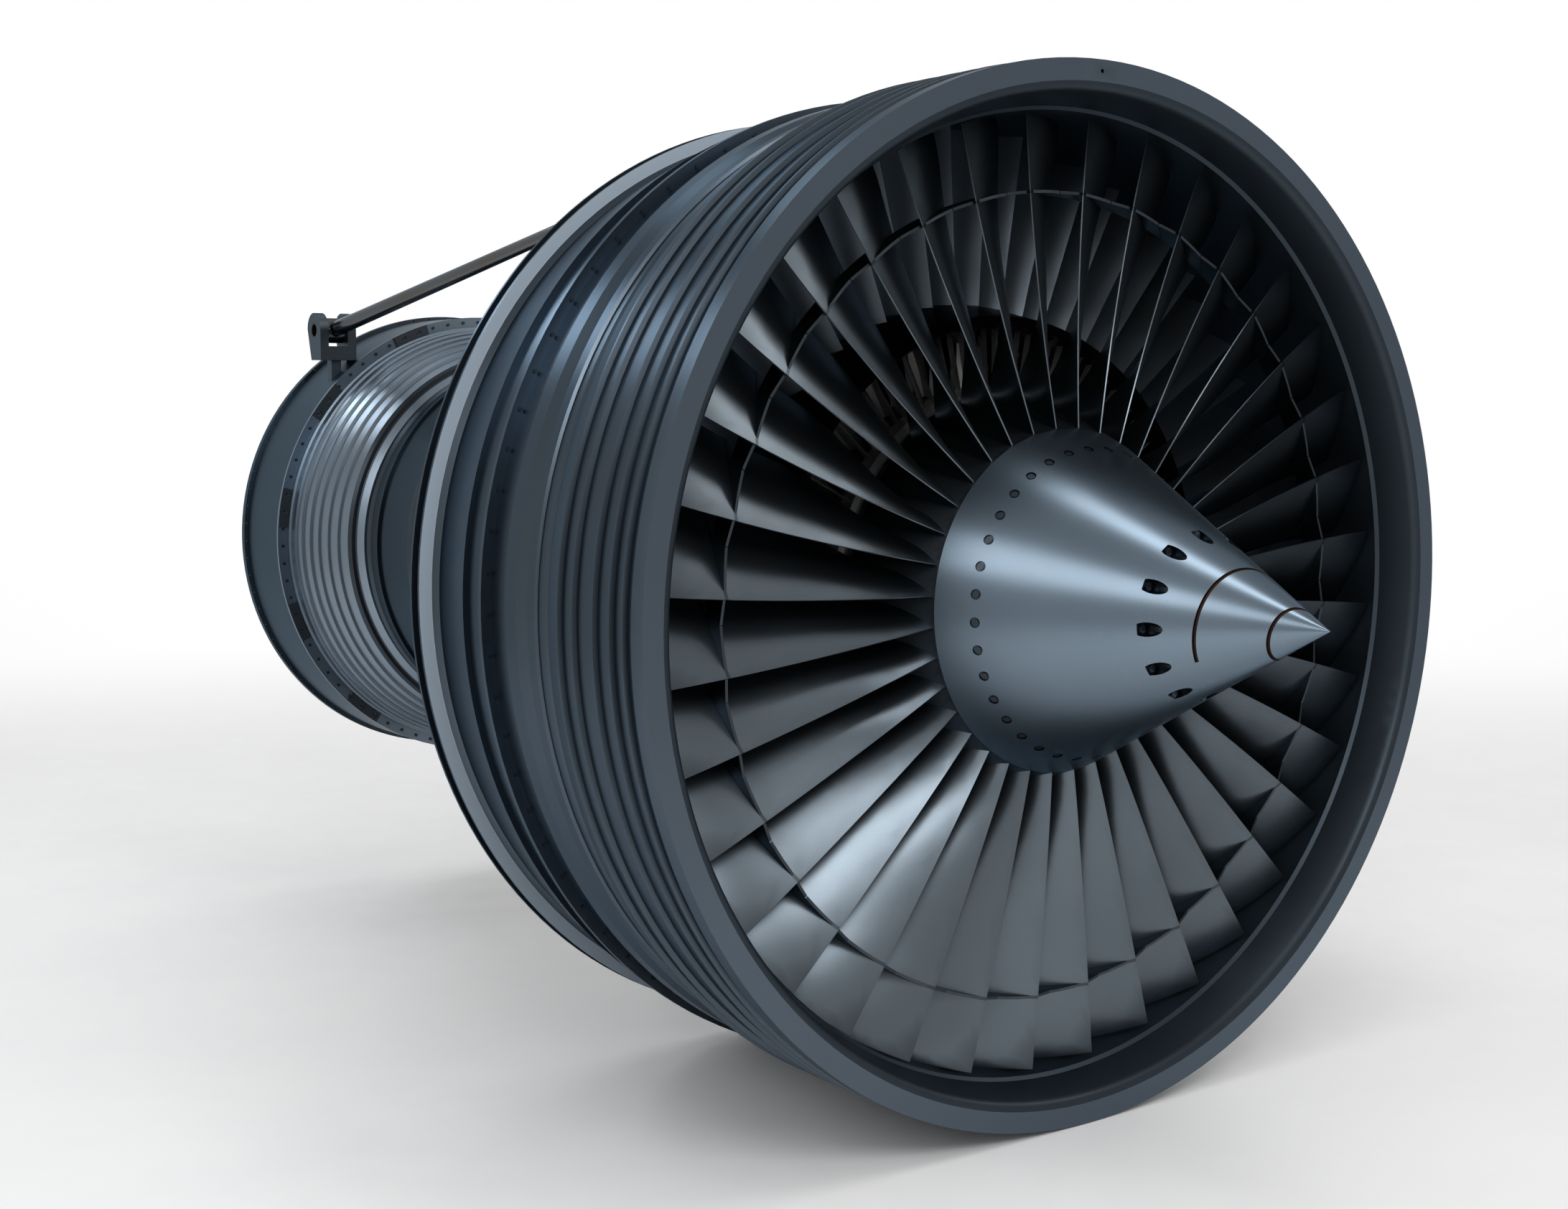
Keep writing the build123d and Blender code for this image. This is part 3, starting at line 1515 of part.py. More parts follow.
rear_bore = lp_rear_radii[3] + bearing_fit
rear_web = 10.0
with BuildPart() as rear_frame_hub:
    revolve(
        half_section(
            (rear_hub_front, rear_hub_radius - rear_hub_wall),
            (rear_hub_front, rear_hub_radius),
            (rear_hub_rear, rear_hub_radius),
            (rear_hub_rear, rear_hub_radius - rear_hub_wall),
            (lp_rear_bearing + rear_web, rear_hub_radius - rear_hub_wall),
            (lp_rear_bearing + rear_web, rear_bore + housing_wall),
            (lp_rear_bearing + bearing_half, rear_bore + housing_wall),
            (lp_rear_bearing + bearing_half, rear_bore),
            (lp_rear_bearing - bearing_half, rear_bore),
            (lp_rear_bearing - bearing_half, rear_bore + housing_wall),
            (lp_rear_bearing - rear_web, rear_bore + housing_wall),
            (lp_rear_bearing - rear_web, rear_hub_radius - rear_hub_wall),
        ),
        axis=Axis.Y,
    )
with BuildPart() as rear_bearing_cover:
    revolve(
        half_section(
            (rear_hub_rear, 0.0),
            (rear_hub_rear, rear_hub_radius),
            (rear_hub_rear + cover_thickness, rear_hub_radius),
            (rear_hub_rear + cover_thickness, rear_hub_radius - cover_rim),
            (rear_hub_rear + cover_thickness + cover_dome, cover_crown),
            (rear_hub_rear + cover_thickness + cover_dome, 0.0),
        ),
        axis=Axis.Y,
    )

# Shafts
fan_shaft_step = lp_front_bearing + 60.0
disk_shaft_front = disk_middle - disk_bore_half
shaft_flange_front = disk_middle + disk_bore_half
with BuildPart() as low_pressure_shaft:
    revolve(
        half_section(
            (disk_shaft_front, fan_shaft_bore),
            (disk_shaft_front, disk_bore - seat_gap),
            (shaft_flange_front, disk_bore - seat_gap),
            (shaft_flange_front, disk_bore_top - 8.0),
            (shaft_flange_front + 14.0, disk_bore_top - 8.0),
            (shaft_flange_front + 60.0, fan_shaft_radius),
            (fan_shaft_step, fan_shaft_radius),
            (fan_shaft_step + 40.0, lp_shaft_radius),
            (lp_rear_bearing + bearing_half + 20.0, lp_shaft_radius),
            (lp_rear_bearing + bearing_half + 20.0, lp_shaft_bore),
            (fan_shaft_step + 20.0, lp_shaft_bore),
            (fan_shaft_step - 40.0, fan_shaft_bore),
        ),
        axis=Axis.Y,
    )
core_shaft_front = core_front_bearing - bearing_half - 5.0
core_shaft_rear = core_drum_rear + 10.0
with BuildPart() as core_shaft:
    revolve(ring_section(core_shaft_front, core_shaft_rear, core_shaft_bore, core_shaft_radius), axis=Axis.Y)

# Bearings: inner rings turn with the shafts, outer rings and rollers stay in their housings
bearing_places = (
    (lp_front_bearing, fan_shaft_radius),
    (core_front_bearing, core_shaft_radius),
    (core_rear_bearing, core_shaft_radius),
    (lp_rear_bearing, lp_shaft_radius),
)


def inner_ring_section(station, journal):
    """Outline of the ring that sits on a journal."""
    ring_outer = bearing_radii(journal)[0]
    return ring_section(station - bearing_half, station + bearing_half, journal + bearing_fit, ring_outer)


with BuildPart() as lp_bearing_inner_rings:
    revolve(inner_ring_section(lp_front_bearing, fan_shaft_radius), axis=Axis.Y)
    revolve(inner_ring_section(lp_rear_bearing, lp_shaft_radius), axis=Axis.Y)
with BuildPart() as core_bearing_inner_rings:
    revolve(inner_ring_section(core_front_bearing, core_shaft_radius), axis=Axis.Y)
    revolve(inner_ring_section(core_rear_bearing, core_shaft_radius), axis=Axis.Y)
with BuildPart() as bearing_outer_rings:
    for station, journal in bearing_places:
        radii = bearing_radii(journal)
        revolve(
            ring_section(station - bearing_half, station + bearing_half, radii[2], radii[3]), axis=Axis.Y
        )


def roller(station, circle):
    """One roller at the top of its circle."""
    with BuildPart() as piece:
        with BuildSketch(front_plane(station - roller_length / 2)):
            with Locations((0, circle)):
                Circle(roller_radius)
        extrude(amount=-roller_length)
    return piece.part


roller_copies = []
for station, journal in bearing_places:
    circle = bearing_radii(journal)[1]
    pieces = int(2 * pi * circle / (roller_radius * 2.6))
    roller_copies += around(roller(station, circle), pieces)
with BuildPart() as bearing_rollers:
    add(roller_copies)

# Mount yokes on short posts on the rear frame's band
bore_station = mount_station + mount_bore_set_back
yoke_round_station = mount_station + 15.0
yoke_round_height = mount_bore_height + 4.5
with BuildPart() as left_mount_yoke:
    with BuildSketch(Plane.YZ.offset(-mount_side)):
        with BuildLine():
            Polyline(
                [
                    (at(yoke_round_station) - yoke_top_radius, yoke_round_height),
                    (at(mount_station) - yoke_front, yoke_bottom),
                    (at(mount_station) + yoke_back, yoke_bottom),
                    (at(yoke_round_station) + yoke_top_radius, yoke_round_height),
                ]
            )
            ThreePointArc(
                (at(yoke_round_station) + yoke_top_radius, yoke_round_height),
                (at(yoke_round_station), yoke_round_height + yoke_top_radius),
                (at(yoke_round_station) - yoke_top_radius, yoke_round_height),
            )
        make_face()
    extrude(amount=yoke_half_width, both=True)
    with BuildSketch(Plane.YZ.offset(-mount_side)):
        with Locations((at(yoke_round_station), yoke_floor + yoke_top_radius * 2)):
            Rectangle(yoke_top_radius * 4, yoke_top_radius * 4)
    extrude(amount=yoke_half_gap, both=True, mode=Mode.SUBTRACT)
    with BuildSketch(Plane.YZ.offset(-mount_side)):
        with Locations((at(bore_station), mount_bore_height)):
            Circle(mount_pin_radius + seat_gap)
    extrude(amount=yoke_half_width, both=True, mode=Mode.SUBTRACT)
    with BuildSketch(Plane.XY.offset(yoke_bottom)):
        with Locations((-mount_side, at(mount_station))):
            Rectangle(post_width, post_width)
    extrude(amount=-(yoke_bottom - sqrt(band_radius**2 - (mount_side + post_width / 2) ** 2)) - 4.0)
    revolve(
        ring_section(
            mount_station - yoke_back * 2,
            mount_station + yoke_back * 2,
            0.0,
            band_radius + seat_gap,
        ),
        axis=Axis.Y,
        mode=Mode.SUBTRACT,
    )
with BuildPart() as right_mount_yoke:
    add(left_mount_yoke.part.mirror(Plane.YZ))

with BuildPart() as left_pin:
    with BuildSketch(Plane.YZ.offset(-mount_side)):
        with Locations((at(bore_station), mount_bore_height)):
            Circle(mount_pin_radius)
            Circle(mount_bore_radius, mode=Mode.SUBTRACT)
    extrude(amount=yoke_half_width, both=True)
with BuildPart() as mount_pins:
    add(left_pin.part)
    add(left_pin.part.mirror(Plane.YZ))

# Thrust links from the yokes to brackets on the fan frame's rim
link_rear = Vector(-mount_side, at(bore_station), mount_bore_height)
link_front = Vector(-bracket_side, at(bracket_station), bracket_height)
link_run = link_front - link_rear
with BuildPart() as left_thrust_link:
    with BuildSketch(Plane(origin=link_rear, z_dir=link_run)):
        Circle(link_rear_radius)
    with BuildSketch(Plane(origin=link_front, z_dir=link_run)):
        Circle(link_front_radius)
    loft()
    with BuildSketch(Plane.YZ.offset(-mount_side)):
        with Locations((at(bore_station), mount_bore_height)):
            Circle(link_ball_radius)
    extrude(amount=link_ball_half_width, both=True)
    with BuildSketch(Plane.YZ.offset(-bracket_side)):
        with Locations((at(bracket_station), bracket_height)):
            Circle(link_eye_radius)
    extrude(amount=link_eye_half_width, both=True)
    with BuildSketch(Plane.YZ.offset(-mount_side)):
        with Locations((at(bore_station), mount_bore_height)):
            Circle(mount_pin_radius + seat_gap)
    extrude(amount=yoke_half_width, both=True, mode=Mode.SUBTRACT)
    with BuildSketch(Plane.YZ.offset(-bracket_side)):
        with Locations((at(bracket_station), bracket_height)):
            Circle(bracket_pin_radius + seat_gap)
    extrude(amount=yoke_half_width, both=True, mode=Mode.SUBTRACT)
with BuildPart() as right_thrust_link:
    add(left_thrust_link.part.mirror(Plane.YZ))

ear_inner = link_eye_half_width + link_side_clearance
ear_outer = ear_inner + bracket_ear
plate_rear = fan_frame_rear + bracket_plate
with BuildPart() as left_bracket:
    with BuildSketch(Plane.YZ.offset(-bracket_side)):
        with BuildLine():
            Polyline(
                [
                    (at(fan_frame_rear), bracket_plate_bottom),
                    (at(fan_frame_rear), bracket_plate_top),
                    (at(plate_rear), bracket_plate_top),
                    (at(bracket_station) + link_eye_radius, bracket_height),
                ]
            )
            ThreePointArc(
                (at(bracket_station) + link_eye_radius, bracket_height),
                (at(bracket_station), bracket_height - link_eye_radius),
                (at(bracket_station) - link_eye_radius, bracket_height),
            )
            Line(
                (at(bracket_station) - link_eye_radius, bracket_height),
                (at(fan_frame_rear), bracket_plate_bottom),
            )
        make_face()
    extrude(amount=ear_outer, both=True)
    with BuildSketch(Plane.YZ.offset(-bracket_side)):
        with Locations((at(plate_rear) + bracket_station, bracket_height)):
            Rectangle(bracket_station * 2, yoke_top_radius * 4)
    extrude(amount=ear_inner, both=True, mode=Mode.SUBTRACT)
    with BuildSketch(Plane.XZ.offset(-at(fan_frame_rear))):
        with Locations((-bracket_side, (bracket_plate_bottom + bracket_plate_top) / 2)):
            Rectangle(bracket_half_width * 2, bracket_plate_top - bracket_plate_bottom)
    extrude(amount=-bracket_plate)
    with BuildSketch(Plane.YZ.offset(-bracket_side)):
        with Locations((at(bracket_station), bracket_height)):
            Circle(bracket_pin_radius + seat_gap)
    extrude(amount=ear_outer, both=True, mode=Mode.SUBTRACT)
with BuildPart() as link_brackets:
    add(left_bracket.part)
    add(left_bracket.part.mirror(Plane.YZ))

with BuildPart() as left_bracket_pin:
    with BuildSketch(Plane.YZ.offset(-bracket_side)):
        with Locations((at(bracket_station), bracket_height)):
            Circle(bracket_pin_radius)
    extrude(amount=ear_outer + 6.0, both=True)
with BuildPart() as link_bracket_pins:
    add(left_bracket_pin.part)
    add(left_bracket_pin.part.mirror(Plane.YZ))

# Every piece is written under its own name
pieces = {
    "spinner_cone": spinner_cone,
    "spinner_support": spinner_support,
    "spinner_front_bolts": spinner_front_bolts,
    "spinner_rear_screws": spinner_rear_screws,
    "fan_blades": fan_blades,
    "fan_disk": fan_disk,
    "booster_drum": booster_drum,
    "booster_blades": booster_blades,
    "low_pressure_shaft": low_pressure_shaft,
    "lp_turbine_drum": lp_turbine_drum,
    "lp_turbine_blades": lp_turbine_blades,
    "lp_bearing_inner_rings": lp_bearing_inner_rings,
    "compressor_drum": compressor_drum,
    "compressor_blades": compressor_blades,
    "core_shaft": core_shaft,
    "core_turbine_drum": core_turbine_drum,
    "core_turbine_blades": core_turbine_blades,
    "core_bearing_inner_rings": core_bearing_inner_rings,
    "fan_case": fan_case,
    "fan_case_liner": fan_case_liner,
    "case_flange_bolts": case_flange_bolts,
    "outlet_guide_vanes": outlet_guide_vanes,
    "splitter_ring": splitter_ring,
    "bypass_inner_wall": bypass_inner_wall,
    "core_inlet_vanes": core_inlet_vanes,
    "inlet_vane_inner_ring": inlet_vane_inner_ring,
    "booster_case": booster_case,
    "booster_vanes": booster_vanes,
    "fan_frame_case": fan_frame_case,
    "fan_frame_struts": fan_frame_struts,
    "fan_frame_hub": fan_frame_hub,
    "fan_frame_core": fan_frame_core,
    "compressor_case": compressor_case,
    "compressor_vanes": compressor_vanes,
    "diffuser_frame": diffuser_frame,
    "combustor_case": combustor_case,
    "combustor_liner": combustor_liner,
    "fuel_manifold": fuel_manifold,
    "fuel_hoops": fuel_hoops,
    "fuel_nozzles": fuel_nozzles,
    "core_turbine_case": core_turbine_case,
    "core_nozzle_vanes": core_nozzle_vanes,
    "lp_turbine_case": lp_turbine_case,
    "lp_nozzle_vanes": lp_nozzle_vanes,
    "flange_pads": flange_pads,
    "frame_flange_bolts": frame_flange_bolts,
    "rear_frame_case": rear_frame_case,
    "rear_frame_struts": rear_frame_struts,
    "rear_frame_hub": rear_frame_hub,
    "rear_bearing_cover": rear_bearing_cover,
    "bearing_outer_rings": bearing_outer_rings,
    "bearing_rollers": bearing_rollers,
    "left_mount_yoke": left_mount_yoke,
    "right_mount_yoke": right_mount_yoke,
    "mount_pins": mount_pins,
    "left_thrust_link": left_thrust_link,
    "right_thrust_link": right_thrust_link,
    "link_brackets": link_brackets,
    "link_bracket_pins": link_bracket_pins,
}

os.makedirs("parts", exist_ok=True)
for label, piece in pieces.items():
    piece.part.label = label
    export_step(piece.part, f"parts/{label}.step")
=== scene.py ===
import math
import bpy
import bmesh
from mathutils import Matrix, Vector


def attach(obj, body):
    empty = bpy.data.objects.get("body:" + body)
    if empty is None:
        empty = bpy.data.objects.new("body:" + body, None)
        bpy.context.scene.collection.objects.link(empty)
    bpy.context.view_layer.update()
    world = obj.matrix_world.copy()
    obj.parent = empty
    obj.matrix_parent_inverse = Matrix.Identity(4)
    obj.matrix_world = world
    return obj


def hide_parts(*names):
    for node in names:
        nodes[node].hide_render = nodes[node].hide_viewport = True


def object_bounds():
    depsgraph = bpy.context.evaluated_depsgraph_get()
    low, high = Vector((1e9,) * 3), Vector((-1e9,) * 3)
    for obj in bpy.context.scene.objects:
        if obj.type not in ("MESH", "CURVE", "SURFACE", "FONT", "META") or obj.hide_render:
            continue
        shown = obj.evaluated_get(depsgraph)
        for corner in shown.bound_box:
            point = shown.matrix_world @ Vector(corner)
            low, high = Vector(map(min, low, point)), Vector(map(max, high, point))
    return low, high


# A jet engine without cowls, dressed for one studio picture.
# Metres. The axis is Y with the intake towards -Y, and +Z is up. The exhaust flange is at y = 0.
# Angles round the axis run from +Z towards -X.

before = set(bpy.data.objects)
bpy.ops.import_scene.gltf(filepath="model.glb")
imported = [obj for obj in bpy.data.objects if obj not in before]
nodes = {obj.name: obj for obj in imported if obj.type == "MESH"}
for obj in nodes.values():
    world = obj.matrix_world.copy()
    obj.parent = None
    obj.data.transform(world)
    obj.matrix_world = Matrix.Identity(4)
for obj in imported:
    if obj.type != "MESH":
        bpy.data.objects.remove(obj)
cad_low, cad_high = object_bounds()

# Sizes shared with the solids: the length to the intake face, and stations aft of that face
engine_length = 3.519
spinner_tip = -0.703
spinner_slope = 424.0 / 810.0
spinner_rear = 0.107

# Bands of painted shade and painted highlight: radius or place along Y of their middles, and half their
# widths
snubber_radius = 0.995
snubber_shade_half = 0.0035
shaded_cone_middle = -0.619
shaded_cone_half = 0.012
rim_face = -2.414
rim_highlight_half = 0.0014

# Camera, fitted to the photograph: metres, degrees, and millimetres for the lens
camera_place = (-3.4458, -7.0255, 0.4876)
camera_turn = 35.63
camera_dip = 5.72
camera_lens = 46.36
camera_reach = 200.0


def at(station):
    """Place along Y of a station aft of the intake face."""
    return station - engine_length


def on_ring(station, radius, angle):
    """Point at a station, radius and angle in degrees."""
    turn = math.radians(angle)
    return Vector((-radius * math.sin(turn), at(station), radius * math.cos(turn)))


def new_piece(name, mesh_maker, material, body):
    """Object from a function that fills a bmesh, riding on a body."""
    mesh = bpy.data.meshes.new(name)
    work = bmesh.new()
    mesh_maker(work)
    bmesh.ops.recalc_face_normals(work, faces=work.faces)
    work.to_mesh(mesh)
    work.free()
    piece = bpy.data.objects.new(name, mesh)
    bpy.context.scene.collection.objects.link(piece)
    mesh.materials.append(material)
    for face in mesh.polygons:
        face.use_smooth = True
    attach(piece, body)
    return piece


# Materials

class Nodes:
    """Short ways to add and join the nodes of a tree."""

    def __init__(self, tree):
        self.tree = tree

    def join(self, source, socket):
        """Links a socket, or sets it where the source is a plain value."""
        if isinstance(source, bpy.types.NodeSocket):
            self.tree.links.new(source, socket)
        else:
            socket.default_value = source

    def compute(self, operation, first, second):
        """Sum, difference, power and the like of two values."""
        node = self.tree.nodes.new("ShaderNodeMath")
        node.operation = operation
        self.join(first, node.inputs[0])
        self.join(second, node.inputs[1])
        return node.outputs[0]

    def vectors(self, operation, first, second=None):
        """Node that works on one or two vectors."""
        node = self.tree.nodes.new("ShaderNodeVectorMath")
        node.operation = operation
        self.join(first, node.inputs[0])
        if second is not None:
            self.join(second, node.inputs[1])
        return node

    def split(self, vector):
        """The X, Y and Z of a vector."""
        node = self.tree.nodes.new("ShaderNodeSeparateXYZ")
        self.join(vector, node.inputs[0])
        return node.outputs

    def spread(self, value, low, high, from_low=0.3, from_high=0.7, course="LINEAR"):
        """Value moved from one range to another, straight or as a soft step."""
        node = self.tree.nodes.new("ShaderNodeMapRange")
        node.interpolation_type = course
        node.inputs["From Min"].default_value = from_low
        node.inputs["From Max"].default_value = from_high
        node.inputs["To Min"].default_value = low
        node.inputs["To Max"].default_value = high
        self.join(value, node.inputs["Value"])
        return node.outputs["Result"]

    def between(self, share, first, second):
        """Number between two others."""
        node = self.tree.nodes.new("ShaderNodeMix")
        self.join(share, node.inputs["Factor"])
        self.join(first, node.inputs["A"])
        self.join(second, node.inputs["B"])
        return node.outputs["Result"]

    def blend(self, share, first, second, mode="MIX"):
        """Colour between two others, by the node's sockets for colours."""
        node = self.tree.nodes.new("ShaderNodeMix")
        node.data_type = "RGBA"
        node.blend_type = mode
        self.join(share, node.inputs["Factor"])
        self.join(first, node.inputs[6])
        self.join(second, node.inputs[7])
        return node.outputs[2]


class Surface(Nodes):
    """A new material, and what its nodes have in common."""

    def __init__(self, name):
        self.material = bpy.data.materials.new(name)
        self.material.use_nodes = True
        super().__init__(self.material.node_tree)
        self.shader = self.tree.nodes["Principled BSDF"]
        self.place = self.tree.nodes.new("ShaderNodeTexCoord").outputs["Object"]

    def set(self, name, value):
        """Sets or links a value of the surface."""
        self.join(value, self.shader.inputs[name])

    def noise(self, scale, detail=3.0, place=None, roughness=0.55):
        """Noise with a number of features to the metre."""
        node = self.tree.nodes.new("ShaderNodeTexNoise")
        node.inputs["Scale"].default_value = scale
        node.inputs["Detail"].default_value = detail
        node.inputs["Roughness"].default_value = roughness
        self.join(place or self.place, node.inputs["Vector"])
        return node.outputs["Fac"]

    def bump(self, height, strength, distance):
        """Relief from a height."""
        node = self.tree.nodes.new("ShaderNodeBump")
        node.inputs["Strength"].default_value = strength
        node.inputs["Distance"].default_value = distance
        self.join(height, node.inputs["Height"])
        return node.outputs["Normal"]

    def ring_place(self):
        """Place along the engine's axis, and distance from it."""
        parts = self.split(self.place)
        across = self.compute("POWER", parts["X"], 2.0)
        upward = self.compute("POWER", parts["Z"], 2.0)
        return parts["Y"], self.compute("POWER", self.compute("ADD", across, upward), 0.5)

    def turned_place(self):
        """Coordinates that are the same all round the axis, for lathe marks."""
        along, radius = self.ring_place()
        together = self.tree.nodes.new("ShaderNodeCombineXYZ")
        self.join(along, together.inputs["Y"])
        self.join(radius, together.inputs["Z"])
        return together.outputs[0]


# Finish of the metals: noise scales in features to the metre, depth in metres, and the tint at flat angles
cloud_scale = 1.9
cloud_range = (0.30, 0.72)
fleck_scale = 310.0
fleck_share = 0.10
fleck_range = (0.40, 0.60)
edge_range = (0.52, 0.60)
gloss_scale = 4.0
lathe_scale = 420.0
skin_scale = 330.0
skin_depth = 0.00003
grazing_tint = (0.46, 0.51, 0.56)

# A band lies at a place along the axis or at a distance from it, as ring_place gives them
along_axis = 0
from_axis = 1
band_softness = 0.0015


def metal(
    name, colour, stain, roughness, grain=0.015, peel=0.5, turned=0.0, wear_and_shade=0.35, edge_gain=1.6,
    bands=(), matt_bands=False
):
    """Satin metal: cloudy tint, soft gloss patches, gritty skin, optional lathe marks, and edges tinted by
    pointiness, lighter as rubbed wear and darker as painted shade where edge_gain is below 1.

    Bands are rings of painted shade and painted highlight, metal too or matt.
    """
    n = Surface(name)
    metallic = 1.0
    cloud = n.spread(n.noise(cloud_scale, detail=4.0), 0.0, 1.0, *cloud_range)
    tint = n.blend(cloud, (*colour, 1.0), (*stain, 1.0))
    flecks = n.spread(n.noise(fleck_scale, detail=2.0), *fleck_range)
    tint = n.blend(fleck_share, tint, flecks, "OVERLAY")
    # Edges by pointiness: lighter for rubbed wear; where edge_gain is below 1, darker as painted shade over
    # edge highlights
    edge = n.tree.nodes.new("ShaderNodeNewGeometry").outputs["Pointiness"]
    rubbed_and_shaded = n.spread(edge, 0.0, wear_and_shade, *edge_range)
    edge_wear_and_shade_tint = [min(1.0, part * edge_gain) for part in colour]
    tint = n.blend(rubbed_and_shaded, tint, (*edge_wear_and_shade_tint, 1.0))
    # Rings of painted shade and painted highlight, laid along or out from the axis
    for measure, band_middle, half, share, shade in bands:
        off = n.compute("ABSOLUTE", n.compute("SUBTRACT", n.ring_place()[measure], band_middle), 0.0)
        tint = n.blend(n.spread(off, share, 0.0, half, half + band_softness), tint, (*shade, 1.0))
        if matt_bands:
            metallic = n.spread(off, 0.0, 1.0, half, half + band_softness)
    n.set("Base Color", tint)
    n.set("Metallic", metallic)
    n.set("Specular Tint", (*grazing_tint, 1.0))
    gloss = n.spread(n.noise(gloss_scale), roughness - grain, roughness + grain)
    if turned:
        lines = n.noise(lathe_scale, place=n.turned_place(), roughness=0.7)
        gloss = n.compute("ADD", gloss, n.spread(lines, -turned * grain, turned * grain))
    n.set("Roughness", gloss)
    n.set("Normal", n.bump(n.noise(skin_scale, detail=1.0), peel, skin_depth))
    return n.material


case_metal = metal("case_metal", (0.082, 0.103, 0.127), (0.070, 0.089, 0.110), 0.31, peel=0.2, turned=0.25)
# The rim face band is a painted highlight: a pale matt ring that stands in for a bright strip of light on
# the fan frame's rim
frame_case_metal = metal(
    "frame_case_metal", (0.082, 0.103, 0.127), (0.070, 0.089, 0.110), 0.31, peel=0.2, turned=0.25,
    bands=[(along_axis, rim_face, rim_highlight_half, 1.0, (0.270, 0.325, 0.380))], matt_bands=True
)
spinner_metal = metal(
    "spinner_metal", (0.188, 0.243, 0.298), (0.170, 0.220, 0.270), 0.28, peel=0.35, wear_and_shade=0.0
)
# Darker metal in the spinner's pockets and screw recesses: painted shade in the hollows
recess_shade_metal = metal("recess_shade_metal", (0.060, 0.078, 0.096), (0.050, 0.066, 0.082), 0.30, wear_and_shade=0.0)
# Blades: edges darkened by pointiness and a dark band at the snubbers, both painted shade over highlights
fan_titanium = metal(
    "fan_titanium", (0.135, 0.162, 0.186), (0.118, 0.142, 0.163), 0.30, wear_and_shade=0.8, edge_gain=0.3,
    bands=[(from_axis, snubber_radius, snubber_shade_half, 0.75, (0.040, 0.048, 0.055))]
)
liner_metal = metal("liner_metal", (0.044, 0.056, 0.068), (0.037, 0.047, 0.057), 0.46, wear_and_shade=0.0)
frame_metal = metal("frame_metal", (0.230, 0.262, 0.292), (0.195, 0.224, 0.252), 0.36)
splitter_metal = metal("splitter_metal", (0.055, 0.040, 0.030), (0.040, 0.030, 0.023), 0.34, turned=0.2)
# Near-white vanes: painted light, a colour raised so that vanes deep in the core look lit
inlet_vane_metal = metal("inlet_vane_metal", (0.800, 0.760, 0.720), (0.700, 0.660, 0.620), 0.40)
inner_casting = metal("inner_casting", (0.120, 0.126, 0.130), (0.100, 0.105, 0.110), 0.45)
combustor_metal = metal("combustor_metal", (0.066, 0.082, 0.098), (0.056, 0.070, 0.084), 0.28, turned=0.25)
heat_metal = metal("heat_metal", (0.120, 0.100, 0.085), (0.095, 0.083, 0.076), 0.42)
# The near-black band on the steep front cone is painted shade, standing in for the dark that the cone faces
turbine_case_metal = metal(
    "turbine_case_metal", (0.228, 0.285, 0.345), (0.205, 0.245, 0.285), 0.31, turned=0.2,
    bands=[(along_axis, shaded_cone_middle, shaded_cone_half, 0.85, (0.016, 0.019, 0.022))]
)
rear_frame_metal = metal("rear_frame_metal", (0.070, 0.090, 0.108), (0.061, 0.079, 0.095), 0.32, turned=0.2)
pad_metal = metal("pad_metal", (0.060, 0.070, 0.080), (0.050, 0.058, 0.066), 0.42)
pipe_steel = metal("pipe_steel", (0.300, 0.295, 0.285), (0.250, 0.240, 0.225), 0.24)
link_steel = metal("link_steel", (0.150, 0.160, 0.168), (0.150, 0.130, 0.112), 0.16, peel=0.8)
yoke_steel = metal("yoke_steel", (0.095, 0.116, 0.136), (0.082, 0.100, 0.117), 0.34)
bolt_steel = metal("bolt_steel", (0.048, 0.058, 0.068), (0.038, 0.046, 0.054), 0.36, wear_and_shade=0.6)
rotor_steel = metal("rotor_steel", (0.150, 0.154, 0.160), (0.125, 0.128, 0.133), 0.38, turned=0.2)
bearing_steel = metal("bearing_steel", (0.420, 0.425, 0.430), (0.370, 0.375, 0.380), 0.18)
pin_steel = metal("pin_steel", (0.105, 0.072, 0.052), (0.075, 0.052, 0.040), 0.30)
groove_dark = metal("groove_dark", (0.026, 0.014, 0.010), (0.018, 0.010, 0.008), 0.50)

